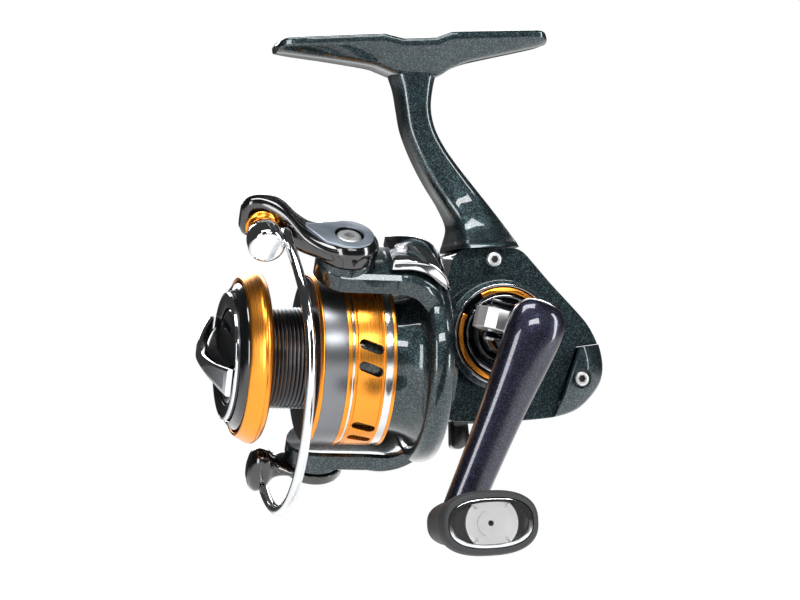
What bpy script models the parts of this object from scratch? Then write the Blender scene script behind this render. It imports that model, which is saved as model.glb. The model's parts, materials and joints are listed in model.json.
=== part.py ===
"""Open-face spinning reel of the ultralight size, modelled at rest, in metres.

+Z points at the rod, the spool looks towards -X and the crank is on -Y. The origin is the centre of
the saddle in the top of the foot. Sizes below are in millimetres and degrees.

Three frames carry the pieces. The shaft frame has its Z along the spool shaft, pointing forward, and
its X up. The rotor frame is the shaft frame turned about Z so that X runs along the upper rotor arm.
The crank frame has its Z along the crank's axis, pointing out to the handle, and its Y up.
"""

import math

import bmesh
import bpy
from mathutils import Matrix, Vector

MM = 0.001
GAP = 0.3  # kept between two pieces that seat on each other
RUNNING = 0.1  # radial clearance of a turning fit

# Foot and stem
FOOT_LENGTH = 56.0
FOOT_WIDTH = 14.0
FOOT_EDGE = 1.7  # thickness of the foot at its long edges
FOOT_TIP_THICKNESS = 3.3
SADDLE_DEPTH = 1.1

# Body
SHAFT_HEIGHT = -65.2  # the shaft axis where it passes under the origin
SHAFT_TILT = 4.1  # nose up
BODY_FRONT = -2.2  # front face of the gear case, along the shaft
BODY_TAIL = 34.9
BODY_TOP = -43.2  # the seam under the stem
BODY_BOTTOM = -78.2
CASE_HALF_WIDTH = 11.8
SEAM_Y = 7.0  # the joint face between housing and side cover, on the crank side
WALL = 1.6
NOSE_RADIUS = 11.0
NOSE_FRONT = 5.6

# Gear train
CRANK_FORWARD = -12.7  # the crank axis in the shaft frame
CRANK_RISE = 5.2
GEAR_TEETH = 40
PINION_TEETH = 8
PINION_RADIUS = 2.35
SHAFT_RADIUS = 1.25
DRIVE_SHAFT_RADIUS = 2.2
TOOTH_SLANT = 38.0  # of the pinion's teeth from its axis
OSCILLATION_TEETH = 28
OSCILLATION_PINION_TEETH = 14
OSCILLATION_MODULE = 0.5
STROKE_BACK = 5.0
STROKE_FORWARD = 3.0

# Rotor and bail
ARM_LEAN = 36.0  # the upper arm leans towards the crank side
ARM_REACH = 24.3
ARM_THICKNESS = 4.1
ARM_CORNER = 10.0
ARM_HALF_WIDTH = 6.0
ARM_FRONT = 30.0  # before the arms are cut to their plan
UPPER_BOSS = 25.0
LOWER_BOSS = 24.6
FLANGE_RADIUS = 20.4
COVER_FRONT = 12.8  # of the chrome cover, just behind the bail arm's hub
COVER_RISE = 2.9
COVER_BEND = 12.5
PIVOT_FORWARD = 20.3
PIVOT_RADIUS = 6.2
ROTOR_REAR = -1.4
ROTOR_DRUM_RADIUS = 14.6
BAIL_HUB_THICKNESS = 4.4
HOLDER_THICKNESS = 2.2
BAIL_WIRE_RADIUS = 1.0
BAIL_REACH = 31.2
ROLLER_RADIUS = 3.3

# Spool and drag
SPOOL_FRONT = 39.4
LIP_RADIUS = 17.4
LIP_PLANE = 36.2
DRUM_RADIUS = 10.1
SKIRT_RADIUS = 17.2
SKIRT_FRONT = 25.4
SKIRT_REAR = 10.05
DRAG_RECESS = 8.6
KNOB_RADIUS = 14.8
FIN_TIP = 47.4
FIN_REACH = 12.2
FIN_THICKNESS = 1.1
DIAL_OUTER = 12.8
DIAL_INNER = 9.8

# Crank
RING_RADIUS = 10.2
CRANK_LENGTH = 40.4
CRANK_DROP = 64.5  # of the arm below the level, towards the front
ARM_PLANE = 39.4  # the middle of the handle arm, out from the middle plane
HANDLE_KNOB_LENGTH = 19.0
HANDLE_KNOB_WIDTH = 19.0
HANDLE_KNOB_HEIGHT = 12.2

# Places that more than one function uses, in millimetres and degrees.
SPINDLE_RADIUS = 1.2
KNOB_STAND = 3.9  # of the knob's inner end over the middle of the arm
NECK_SHIFT = 1.6
FOLD_LEAN = 16.0
NUT_RADIUS = 3.7
UPPER_SCREW = (12.4, BODY_TOP - 2.4)
LOWER_SCREW = (14.5, -75.2)
REAR_SCREW = (29.6, -70.4)
LEVER_PIVOT = (5.6, BODY_BOTTOM + 1.4)
MESH_REACH = PINION_RADIUS * GEAR_TEETH / PINION_TEETH - CRANK_RISE * math.tan(math.radians(TOOTH_SLANT))
GEAR_RADIUS = math.hypot(CRANK_RISE, MESH_REACH) + 1.05
MESH_FORWARD = CRANK_FORWARD + MESH_REACH
PINION_REAR = MESH_FORWARD - 3.0
PINION_TOOTH_FRONT = BODY_FRONT
PINION_PHASE = 180.0 / PINION_TEETH + 1.5  # a gap of the pinion faces the gear
TOOTH_SHARE = 0.40
GEAR_TOOTH = 0.33
SLIDER_INNER = 1.65  # of the slider towards the drive gear
SLIDER_OUTER = 2.4  # and towards the oscillation gear
OSCILLATION_FORWARD = CRANK_FORWARD - 8.0
OSCILLATION_RISE = CRANK_RISE - math.sqrt(10.5**2 - 8.0**2)
STROKE_RADIUS = (STROKE_BACK + STROKE_FORWARD) / 2
SLIDER_FORWARD = OSCILLATION_FORWARD + STROKE_RADIUS - STROKE_FORWARD
SLOT_PAIRS = 6
SLOT_START = 90.0 - 1.0
SLOT_SPACING = 15.0
SLOT_LEAN = -20.0
SLOT_PLANE = 15.2
FIN_TURN = 62.0
COVER_SCREW = 9.4
WIRE_FORWARD = 30.2
WIRE_LIFT = 3.2
WIRE_REACH = 30.4
ROLLER_REACH = 29.4
ROLLER_FORWARD = 37.6


# ---------------------------------------------------------------- helpers


def clear_scene():
    for obj in list(bpy.data.objects):
        bpy.data.objects.remove(obj, do_unlink=True)


def collection(name):
    made = bpy.data.collections.new(name)
    bpy.context.scene.collection.children.link(made)
    return made


def paint(name, colour, roughness, metallic):
    made = bpy.data.materials.new(name)
    made.use_nodes = True
    shader = made.node_tree.nodes["Principled BSDF"]
    shader.inputs["Base Color"].default_value = (*colour, 1.0)
    shader.inputs["Roughness"].default_value = roughness
    shader.inputs["Metallic"].default_value = metallic
    return made


def frame(name, parent=None, location=(0, 0, 0), rotation=(0, 0, 0)):
    """An empty that pieces hang from. Location in mm, rotation in degrees."""
    made = bpy.data.objects.new(name, None)
    made.empty_display_size = 0.005
    made.location = [v * MM for v in location]
    made.rotation_euler = [math.radians(v) for v in rotation]
    made.parent = parent
    PARTS.objects.link(made)
    return made


def place(obj, where, colour, location=(0, 0, 0), rotation=(0, 0, 0)):
    obj.parent = where
    obj.location = [v * MM for v in location]
    obj.rotation_euler = [math.radians(v) for v in rotation]
    obj.data.materials.clear()
    obj.data.materials.append(colour)
    PARTS.objects.link(obj)
    return obj


def from_bmesh(name, shape):
    mesh = bpy.data.meshes.new(name)
    bmesh.ops.recalc_face_normals(shape, faces=shape.faces)
    shape.to_mesh(mesh)
    shape.free()
    return bpy.data.objects.new(name, mesh)


def block(name, size, where, colour, location=(0, 0, 0), rotation=(0, 0, 0)):
    shape = bmesh.new()
    bmesh.ops.create_cube(shape, size=1.0)
    bmesh.ops.scale(shape, vec=Vector(size) * MM, verts=shape.verts)
    return place(from_bmesh(name, shape), where, colour, location, rotation)


def cylinder(name, radius, low, high, where, colour, location=(0, 0, 0), rotation=(0, 0, 0),
             sides=24, top_radius=None):
    """A cylinder or cone along local Z from low to high."""
    shape = bmesh.new()
    bmesh.ops.create_cone(
        shape, cap_ends=True, segments=sides, radius1=radius * MM,
        radius2=(radius if top_radius is None else top_radius) * MM, depth=(high - low) * MM,
    )
    bmesh.ops.translate(shape, vec=(0, 0, (low + high) / 2 * MM), verts=shape.verts)
    return place(from_bmesh(name, shape), where, colour, location, rotation)


def turned(name, profile, where, colour, location=(0, 0, 0), rotation=(0, 0, 0), steps=32):
    """A profile of (radius, height) turned about local Z. It runs down the outer side. A profile
    that starts and ends on the axis is left open there, any other is closed into a ring."""
    shape = bmesh.new()
    points = [shape.verts.new((r * MM, 0, z * MM)) for r, z in profile]
    for a, b in zip(points, points[1:]):
        shape.edges.new((a, b))
    if profile[0][0] > 0:
        shape.edges.new((points[-1], points[0]))
    mesh = bpy.data.meshes.new(name)
    shape.to_mesh(mesh)
    shape.free()
    obj = place(bpy.data.objects.new(name, mesh), where, colour, location, rotation)
    screw = obj.modifiers.new("turn", "SCREW")
    screw.axis = "Z"
    screw.steps = steps
    screw.render_steps = steps
    screw.use_merge_vertices = True
    screw.merge_threshold = 0.000001
    screw.use_smooth_shade = True
    return obj


def ring(name, outer, inner, low, high, where, colour, location=(0, 0, 0), steps=18):
    profile = [(outer, high), (outer, low), (inner, low), (inner, high)]
    return turned(name, profile, where, colour, location, steps=steps)


def layered(name, layers, where, colour, location=(0, 0, 0), rotation=(0, 0, 0)):
    """A solid through flat outlines of the same number of points, given as (height, outline)."""
    shape = bmesh.new()
    rows = [[shape.verts.new((x * MM, y * MM, z * MM)) for x, y in line] for z, line in layers]
    for low, high in zip(rows, rows[1:]):
        for i in range(len(low)):
            j = (i + 1) % len(low)
            shape.faces.new((low[i], low[j], high[j], high[i]))
    shape.faces.new(rows[0][::-1])
    shape.faces.new(rows[-1])
    return place(from_bmesh(name, shape), where, colour, location, rotation)


def lofted(name, sections, where, colour, location=(0, 0, 0), rotation=(0, 0, 0)):
    """A solid through closed rings of 3-D points, each ring with the same number of points."""
    shape = bmesh.new()
    rows = [[shape.verts.new(Vector(p) * MM) for p in line] for line in sections]
    for low, high in zip(rows, rows[1:]):
        for i in range(len(low)):
            j = (i + 1) % len(low)
            shape.faces.new((low[i], low[j], high[j], high[i]))
    shape.faces.new(rows[0][::-1])
    shape.faces.new(rows[-1])
    return place(from_bmesh(name, shape), where, colour, location, rotation)


def plate(name, outline, low, high, where, colour, location=(0, 0, 0), rotation=(0, 0, 0)):
    return layered(name, [(low, outline), (high, outline)], where, colour, location, rotation)


def tube(name, points, radius, where, colour):
    """A round wire through points, made a mesh with its caps welded."""
    curve = bpy.data.curves.new(name, "CURVE")
    curve.dimensions = "3D"
    line = curve.splines.new("POLY")
    line.points.add(len(points) - 1)
    for target, point in zip(line.points, points):
        target.co = (*[v * MM for v in point], 1.0)
    curve.bevel_depth = radius * MM
    curve.bevel_resolution = 2
    curve.use_fill_caps = True
    guide = bpy.data.objects.new(name + "_line", curve)
    PARTS.objects.link(guide)
    bpy.context.view_layer.update()
    graph = bpy.context.evaluated_depsgraph_get()
    mesh = bpy.data.meshes.new_from_object(guide.evaluated_get(graph))
    bpy.data.objects.remove(guide, do_unlink=True)
    shape = bmesh.new()
    shape.from_mesh(mesh)
    bmesh.ops.remove_doubles(shape, verts=shape.verts, dist=0.000001)
    bmesh.ops.recalc_face_normals(shape, faces=shape.faces)
    shape.to_mesh(mesh)
    shape.free()
    mesh.name = name
    return place(bpy.data.objects.new(name, mesh), where, colour)


def boolean(obj, tool, operation):
    """Cut or join with a tool that stays in the scene as a hidden helper."""
    for users in list(tool.users_collection):
        users.objects.unlink(tool)
    CUTTERS.objects.link(tool)
    tool.hide_render = True
    tool.display_type = "WIRE"
    step = obj.modifiers.new(tool.name, "BOOLEAN")
    step.operation = operation
    step.solver = "EXACT"
    step.object = tool


def cut(obj, tool):
    boolean(obj, tool, "DIFFERENCE")


def join(obj, tool):
    boolean(obj, tool, "UNION")


def keep(obj, tool):
    boolean(obj, tool, "INTERSECT")


def arc(cx, cy, radius, start, end, count):
    """Points on an arc, angles in degrees."""
    found = []
    for i in range(count):
        angle = math.radians(start + (end - start) * i / (count - 1))
        found.append((cx + radius * math.cos(angle), cy + radius * math.sin(angle)))
    return found


def circle(radius, count, cx=0.0, cy=0.0):
    return arc(cx, cy, radius, 0, 360 - 360 / count, count)


def inset(outline, distance):
    """A counterclockwise outline moved inwards by a distance."""
    moved = []
    for i, point in enumerate(outline):
        before = Vector(point) - Vector(outline[i - 1])
        after = Vector(outline[(i + 1) % len(outline)]) - Vector(point)
        first = Vector((-before.y, before.x)).normalized()
        second = Vector((-after.y, after.x)).normalized()
        middle = (first + second).normalized()
        reach = distance / max(0.5, middle.dot(first))
        moved.append(tuple(Vector(point) + middle * reach))
    return moved


def to_side(forward, rise):
    """A point of the shaft frame, as (x, z) in the side view."""
    tilt = math.radians(SHAFT_TILT)
    x = -forward * math.cos(tilt) + rise * math.sin(tilt)
    z = SHAFT_HEIGHT + forward * math.sin(tilt) + rise * math.cos(tilt)
    return x, z


# ---------------------------------------------------------------- housing


def foot_sections():
    """Sections across the foot, tip to tip: flat on top, thin at the edges, deeper along the middle."""
    half = FOOT_LENGTH / 2
    top = SADDLE_DEPTH
    tip = top - FOOT_TIP_THICKNESS
    levels = (
        (-half, top - 1.6, tip + 0.5, 0.30), (-half + 1.2, top - 0.8, tip, 0.62),
        (-half + 4.0, top, tip - 0.2, 0.75), (-17.3, top, -3.5, 0.86), (-8.9, top, -5.1, 0.98),
        (-6.7, top, -5.9, 1.0), (-2.7, 0.0, -7.4, 1.0), (3.9, 0.0, -7.8, 1.0), (7.4, top, -6.2, 1.0),
        (11.0, top, -4.9, 0.97), (15.1, top, -4.1, 0.90), (half - 2.6, top, tip, 0.74),
        (half - 0.6, top, tip + 0.3, 0.60), (half, top - 0.8, tip + 0.9, 0.45),
    )
    sections = []
    for x, high, low, share in levels:
        wide = FOOT_WIDTH / 2 * share
        edge = min(FOOT_EDGE, (high - low) * 0.6)
        right = [(x, -0.62 * wide, low), (x, -wide, high - edge), (x, -wide, high - 0.35), (x, 0.35 - wide, high)]
        left = [(px, -py, pz) for px, py, pz in right[::-1]]
        sections.append(right + left)
    return sections


def stem_sections():
    """Level sections of the stem, top to bottom: a rounded outline that widens into the gear case."""
    levels = (
        (-3.0, -4.6, 5.0, 4.8), (-7.0, -4.6, 4.6, 4.6), (-10.0, -3.7, 3.8, 4.4), (-14.0, -3.3, 3.1, 4.3),
        (-18.0, -2.8, 3.7, 4.2), (-22.0, -1.7, 5.6, 4.2), (-26.0, 0.0, 8.2, 4.3), (-30.0, 2.0, 11.1, 4.5),
        (-34.0, 4.3, 14.0, 5.0), (-38.0, 6.2, 16.9, 5.8), (-41.5, 6.8, 19.0, 7.2),
        (BODY_TOP + 0.7, 6.1, 19.2, 8.6), (BODY_TOP - 2.7, 6.6, 19.6, 9.4),
    )
    sections = []
    for z, front, rear, half in levels:
        middle = (front + rear) / 2
        line = [(middle + x, y, z) for x, y in super_oval((rear - front) / 2, half, 3.0, 24)]
        sections.append(line)
    return sections[::-1]


def case_outline():
    """The gear case from the side, counterclockwise from its lower front corner."""
    low_front = to_side(BODY_FRONT, BODY_BOTTOM - SHAFT_HEIGHT + 0.8)
    tail = BODY_TAIL
    return [
        low_front, (9.0, BODY_BOTTOM), (18.2, BODY_BOTTOM), (24.5, BODY_BOTTOM + 0.3),
        (29.0, BODY_BOTTOM + 1.5), (tail - 2.8, BODY_BOTTOM + 4.2), (tail - 0.7, -71.2), (tail, -68.0),
        (tail - 0.6, -63.6), (tail - 2.5, -59.4), (29.4, -55.8), (25.0, -50.8), (19.0, BODY_TOP),
        (5.4, BODY_TOP), to_side(BODY_FRONT, 15.4), to_side(BODY_FRONT, 5.0), to_side(BODY_FRONT, -5.0),
    ]


def tail_outline():
    """The region behind the slanting joint between the case and its rear cover."""
    return [(19.0, -90.0), (60.0, -90.0), (60.0, -61.4), (29.6, -63.8)]


def case_layers(low, high, low_round, high_round):
    """Layers of the case between two heights, rounded towards either end."""
    rounding = ((0.0, 2.7), (0.9, 1.4), (2.3, 0.5), (4.0, 0.0))
    layers = [(low + up, inset(case_outline(), by)) for up, by in rounding if low_round or up == 0]
    layers += [(high - up, inset(case_outline(), by)) for up, by in rounding[::-1] if high_round or up == 0]
    if not low_round:
        layers[0] = (low, case_outline())
    if not high_round:
        layers[-1] = (high, case_outline())
    return layers


def side_view(name, parent=None):
    """A frame whose X and Y are the side view and whose Z runs out to the crank side."""
    return frame(name, parent, rotation=(90, 0, 0))


def make_housing(side, shaft, crank):
    housing = lofted("housing", foot_sections(), None, PEARL)
    join(housing, lofted("stem_solid", stem_sections(), None, PEARL))
    clear = inset(case_outline(), -GAP)
    cut(housing, plate("room_for_cover", clear, SEAM_Y - 0.5, CASE_HALF_WIDTH + 4, side, PEARL))
    join(housing, layered("case_solid", case_layers(-CASE_HALF_WIDTH, SEAM_Y, True, False), side, PEARL))
    hollow = inset(case_outline(), WALL)
    cut(housing, plate("case_hollow", hollow, -CASE_HALF_WIDTH + WALL, SEAM_Y + 3, side, PEARL))
    join(housing, cylinder("nose_solid", NOSE_RADIUS, BODY_FRONT - 0.9, NOSE_FRONT, shaft, PEARL, sides=32))
    cut(housing, cylinder("nose_bore", 8.9, BODY_FRONT + 2.8, NOSE_FRONT + 2, shaft, PEARL, sides=32))
    cut(housing, cylinder("bearing_bore", 5.5, BODY_FRONT - 3, BODY_FRONT + 3, shaft, PEARL))
    room = GEAR_RADIUS + 0.6
    cut(housing, cylinder("gear_room", room, 1.2, SEAM_Y + 2, crank, PEARL, sides=40))
    cut(housing, plate("tail_room", tail_outline(), -CASE_HALF_WIDTH - 2, SEAM_Y + 2, side, PEARL))
    far_boss = cylinder("far_boss", 7.2, -CASE_HALF_WIDTH - 0.8, -7.6, crank, PEARL)
    join(housing, far_boss)
    cut(housing, cylinder("far_bore", 5.3, -10.6, -6.0, crank, PEARL))
    cut(housing, cylinder("far_hole", DRIVE_SHAFT_RADIUS + 0.8, -14.0, -8.0, crank, PEARL))
    lever = block("lever_slot", (5.8, 5.4, 6.0), side, PEARL, location=(LEVER_PIVOT[0], BODY_BOTTOM, 0))
    cut(housing, lever)
    return housing


def make_side_cover(side, shaft, crank):
    cover = layered("side_cover", case_layers(SEAM_Y + GAP, CASE_HALF_WIDTH, False, True), side, PEARL)
    boss = cylinder("cover_boss", RING_RADIUS + 1.0, CASE_HALF_WIDTH - 3.0, CASE_HALF_WIDTH + 0.4, crank,
                    PEARL, sides=32)
    join(cover, boss)
    cut(cover, plate("cover_hollow", inset(case_outline(), WALL), SEAM_Y - 1, CASE_HALF_WIDTH - WALL,
                     side, PEARL))
    cut(cover, cylinder("cover_nose_room", NOSE_RADIUS + GAP, BODY_FRONT - WALL - GAP, NOSE_FRONT, shaft,
                        PEARL, sides=32))
    cut(cover, plate("cover_tail_room", tail_outline(), SEAM_Y - 1, CASE_HALF_WIDTH + 2, side, PEARL))
    join(cover, cylinder("cover_seat", 7.0, CASE_HALF_WIDTH - 3.6, CASE_HALF_WIDTH - 1, crank, PEARL))
    cut(cover, cylinder("cover_bore", 5.3, 6.0, CASE_HALF_WIDTH - 0.8, crank, PEARL))
    cut(cover, cylinder("cover_hole", 3.3, 6.0, CASE_HALF_WIDTH + 2, crank, PEARL))
    cut(cover, cylinder("cover_screw_hole", 1.75, CASE_HALF_WIDTH - 0.9, CASE_HALF_WIDTH + 1, side,
                        PEARL, location=(*UPPER_SCREW, 0), sides=16))
    cut(cover, cylinder("cover_screw_hole_low", 1.75, CASE_HALF_WIDTH - 0.9, CASE_HALF_WIDTH + 1, side,
                        PEARL, location=(*LOWER_SCREW, 0), sides=16))
    return cover


def make_rear_cover(side):
    grow = CASE_HALF_WIDTH
    layers = case_layers(-grow, grow, True, True)
    cover = layered("rear_cover", layers, side, PEARL)
    shifted = [(19.0 + 0.35, -90.0), (60.0, -90.0), (60.0, -61.4 - 0.35), (29.6, -63.8 - 0.4)]
    keep(cover, plate("tail_keep", shifted, -grow - 2, grow + 2, side, PEARL))
    cut(cover, plate("tail_hollow", inset(case_outline(), WALL), -grow + WALL, grow - WALL, side, PEARL))
    cut(cover, cylinder("tail_screw_hole", 1.75, grow - 0.9, grow + 1, side, PEARL,
                        location=(*REAR_SCREW, 0), sides=16))
    return cover


def socket_screw(name, radius, low, high, where, location=(0, 0, 0), rotation=(0, 0, 0)):
    """A round head with a hexagon socket."""
    screw = cylinder(name, radius, low, high, where, STEEL, location, rotation, sides=16)
    cut(screw, cylinder(name + "_socket", radius * 0.5, high - 0.5, high + 1, where, STEEL, location,
                        rotation, sides=6))
    return screw


def make_case_screws(side):
    top = CASE_HALF_WIDTH
    for name, spot in (("cover_screw_upper", UPPER_SCREW), ("cover_screw_lower", LOWER_SCREW),
                       ("cover_screw_rear", REAR_SCREW)):
        socket_screw(name, 1.4, top - 0.6, top + 0.1, side, (*spot, 0))


def make_reverse_lever(side):
    pivot = frame("reverse_lever_pivot", side, location=(*LEVER_PIVOT, 0))
    lever = plate("reverse_lever", [(-1.7, -6.2), (0.2, -6.6), (2.2, -5.2), (1.8, 1.6), (-1.4, 1.6)],
                  -1.7, 1.7, pivot, BLACK)
    return lever


# ---------------------------------------------------------------- gears


def pinion_section(twist, addendum, dedendum, share):
    """The pinion's outline at one twist: straight-sided teeth on a root circle."""
    points = []
    for i in range(PINION_TEETH):
        middle = 360.0 * i / PINION_TEETH + twist
        pitch = 360.0 / PINION_TEETH
        for offset, radius in ((-share * 0.62, PINION_RADIUS - dedendum),
                               (-share * 0.34, PINION_RADIUS + addendum),
                               (share * 0.34, PINION_RADIUS + addendum),
                               (share * 0.62, PINION_RADIUS - dedendum)):
            angle = math.radians(middle + offset * pitch)
            points.append((radius * math.cos(angle), radius * math.sin(angle)))
    return points


def make_pinion(shaft):
    rear, front = PINION_REAR, PINION_TOOTH_FRONT
    lead = -math.tan(math.radians(TOOTH_SLANT)) / PINION_RADIUS  # radians of twist per mm
    slices = 6
    layers = []
    for i in range(slices + 1):
        along = rear + (front - rear) * i / slices
        twist = PINION_PHASE + math.degrees(lead * (along - MESH_FORWARD))
        layers.append((along, pinion_section(twist, 0.42, 0.45, TOOTH_SHARE)))
    pinion = layered("pinion", layers, shaft, BRASS)
    barrel = [(0, 10.4), (2.2, 10.4), (2.2, 5.9), (2.9, 5.9), (2.9, front - 0.1), (1.9, front - 0.1),
              (1.9, rear + 0.4), (0, rear + 0.4)]
    join(pinion, turned("pinion_barrel", barrel, shaft, BRASS, steps=24))
    cut(pinion, cylinder("pinion_bore", SHAFT_RADIUS + RUNNING, rear - 2, 12, shaft, BRASS))
    return pinion


def make_drive_gear(crank):
    """A face gear: slanted straight teeth that stand on a disc, towards the pinion."""
    root, tip = 3.05, 1.98
    outer = GEAR_RADIUS
    inner = GEAR_RADIUS - 2.5
    profile = [(outer, 4.7), (outer, root), (inner, root), (inner - 0.4, root + 0.6), (2.9, root + 0.6),
               (2.9, 1.4), (DRIVE_SHAFT_RADIUS + RUNNING, 1.4), (DRIVE_SHAFT_RADIUS + RUNNING, 4.7)]
    gear = turned("drive_gear", profile, crank, BRASS, steps=40)
    shape = bmesh.new()
    contact = Vector((-MESH_REACH, -CRANK_RISE, 0))  # of the mesh point from the gear's centre
    along = Matrix.Rotation(-math.radians(SHAFT_TILT), 4, "Z")
    for i in range(GEAR_TEETH):
        made = bmesh.ops.create_cube(shape, size=1.0)["verts"]
        bmesh.ops.scale(shape, vec=Vector((2.5, GEAR_TOOTH, root - tip + 0.4)) * MM, verts=made)
        lean = Matrix.Rotation(math.radians(TOOTH_SLANT), 4, "Z")
        spot = Matrix.Translation(contact * MM)
        height = Matrix.Translation((0, 0, (tip + (root - tip + 0.4) / 2) * MM))
        turn = Matrix.Rotation(2 * math.pi * i / GEAR_TEETH, 4, "Z")
        bmesh.ops.transform(shape, matrix=turn @ along @ spot @ lean @ height, verts=made)
    join(gear, place(from_bmesh("gear_teeth", shape), crank, BRASS))
    return gear


def spur_outline(teeth, module, clearance, phase=0.0):
    pitch_radius = teeth * module / 2
    points = []
    for i in range(teeth):
        middle = 360.0 * i / teeth + phase
        pitch = 360.0 / teeth
        for offset, radius in ((-0.30, pitch_radius - 1.1 * module), (-0.13, pitch_radius + 0.9 * module),
                               (0.13, pitch_radius + 0.9 * module), (0.30, pitch_radius - 1.1 * module)):
            angle = math.radians(middle + offset * (1 - clearance) * pitch)
            points.append((radius * math.cos(angle), radius * math.sin(angle)))
    return points


def make_oscillation(crank, oscillator):
    """The small gear on the drive shaft, and the gear whose pin moves the slider."""
    low, high = -6.3, -4.4
    reach = oscillator.location - crank.location
    facing = math.degrees(math.atan2(reach.z, reach.x))
    outline = spur_outline(OSCILLATION_PINION_TEETH, OSCILLATION_MODULE, 0.1, facing)
    small = plate("oscillation_pinion", outline, low, high, crank, BRASS)
    cut(small, cylinder("small_bore", DRIVE_SHAFT_RADIUS + RUNNING, low - 1, high + 1, crank, BRASS))
    outline = spur_outline(OSCILLATION_TEETH, OSCILLATION_MODULE, 0.1, facing + 180 / OSCILLATION_TEETH)
    big = plate("oscillation_gear", outline, low, high, oscillator, BRASS)
    cut(big, cylinder("big_bore", 1.5, low - 1, high + 1, oscillator, BRASS, sides=16))
    ahead = STROKE_RADIUS - STROKE_FORWARD
    below = -math.sqrt(STROKE_RADIUS**2 - ahead**2)
    pin_x, pin_z = to_side(ahead, below)
    pin = cylinder("oscillation_pin", 0.9, high - 0.4, -SLIDER_OUTER - GAP, oscillator, BRASS,
                   location=(pin_x, pin_z - SHAFT_HEIGHT, 0), sides=16)
    join(big, pin)
    wall = -CASE_HALF_WIDTH + WALL + GAP
    post = cylinder("oscillation_post", 1.2, wall, high, oscillator, STEEL, sides=16)
    flange = cylinder("post_flange", 2.6, wall, low - GAP, oscillator, STEEL, sides=16)
    join(post, flange)
    return big


def make_drive(crank):
    shaft = cylinder("drive_shaft", DRIVE_SHAFT_RADIUS, -11.6, CASE_HALF_WIDTH + 1.6, crank, STEEL)
    for name, low in (("gear_bearing_far", -10.2), ("gear_bearing_near", CASE_HALF_WIDTH - 3.4)):
        ring(name, 5.0, DRIVE_SHAFT_RADIUS + RUNNING, low, low + 2.3, crank, STEEL)
    return shaft


def make_nose_parts(shaft):
    ring("pinion_bearing", 5.2, 3.05, BODY_FRONT + 0.4, BODY_FRONT + 2.6, shaft, STEEL)
    ring("clutch_housing", 8.6, 4.5, BODY_FRONT + 3.1, 3.9, shaft, STEEL)
    ring("clutch_sleeve", 4.2, 3.05, BODY_FRONT + 3.1, 5.4, shaft, STEEL)
    ring("clutch_retainer", 8.6, 4.7, 4.2, 5.2, shaft, STEEL)


# ---------------------------------------------------------------- main shaft, slider and spool


def make_main_shaft(shaft):
    rod = cylinder("main_shaft", SHAFT_RADIUS, SLIDER_FORWARD - 2.6, 38.4, shaft, STEEL)
    slider = block("slider", (9.6, SLIDER_INNER + SLIDER_OUTER, 3.4), shaft, BRASS,
                   location=(-1.6, (SLIDER_OUTER - SLIDER_INNER) / 2, SLIDER_FORWARD))
    cut(slider, cylinder("slider_bore", SHAFT_RADIUS + RUNNING, -30, 0, shaft, BRASS))
    cut(slider, cylinder("guide_bore", 0.8 + RUNNING, -60, 30, shaft, BRASS, location=(-4.6, 0, 0),
                         sides=16))
    guide = cylinder("slider_guide", 0.8, SLIDER_FORWARD - STROKE_BACK - 3.2,
                     SLIDER_FORWARD + STROKE_FORWARD + 3.2, shaft, STEEL, location=(-4.6, 0, 0), sides=16)
    support = [(3.4, 29.6), (3.4, 28.2), (7.6, 28.2), (7.6, 26.8), (2.6, 26.8), (2.6, 24.6),
               (SHAFT_RADIUS + RUNNING, 24.6), (SHAFT_RADIUS + RUNNING, 29.6)]
    turned("spool_support", support, shaft, BLACK, steps=24)
    return rod, guide


def spool_profile():
    wall = 1.2
    floor = SKIRT_FRONT - 2.0
    recess = SPOOL_FRONT - 2.6
    return [
        (15.3, SPOOL_FRONT), (LIP_RADIUS, LIP_PLANE + 0.3), (LIP_RADIUS, LIP_PLANE - 0.3),
        (LIP_RADIUS - 0.8, LIP_PLANE - 1.5), (DRUM_RADIUS, LIP_PLANE - 2.4), (DRUM_RADIUS, SKIRT_FRONT + 0.3),
        (SKIRT_RADIUS - 0.5, SKIRT_FRONT), (SKIRT_RADIUS, SKIRT_FRONT - 0.5), (SKIRT_RADIUS, SKIRT_REAR),
        (SKIRT_RADIUS - wall, SKIRT_REAR), (SKIRT_RADIUS - wall, floor), (DRAG_RECESS, floor),
        (DRAG_RECESS, 30.0), (SHAFT_RADIUS + 0.3, 30.0), (SHAFT_RADIUS + 0.3, 31.4), (DRAG_RECESS, 31.4),
        (DRAG_RECESS, recess), (15.3, recess),
    ]


def make_spool(shaft):
    spool = turned("spool", spool_profile(), shaft, GOLD, steps=40)
    for i in range(SLOT_PAIRS):
        for j in (-0.5, 0.5):
            turn = SLOT_START + 360.0 * i / SLOT_PAIRS + j * SLOT_SPACING
            spot = frame(f"slot_{i}_{j + 0.5:.0f}", shaft, rotation=(0, 0, turn))
            slot = [(x, y) for x, y in arc(0, 1.7, 0.8, 0, 180, 4) + arc(0, -1.7, 0.8, 180, 360, 4)]
            tool = plate(f"slot_cut_{i}_{j + 0.5:.0f}", slot, SKIRT_RADIUS - 3, SKIRT_RADIUS + 1, spot, GOLD,
                         location=(0, 0, SLOT_PLANE), rotation=(0, 90, 0))
            tool.rotation_mode = "QUATERNION"
            tool.rotation_quaternion = (Matrix.Rotation(math.radians(90), 3, "Y")
                                        @ Matrix.Rotation(math.radians(90 + SLOT_LEAN), 3, "Z")).to_quaternion()
            cut(spool, tool)
    return spool


def fin_height(reach):
    """How far forward the fin's outer face is, over a place across the knob."""
    share = abs(reach) / FIN_REACH
    return FIN_TIP - (FIN_TIP - 43.3) * share**1.7


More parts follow.
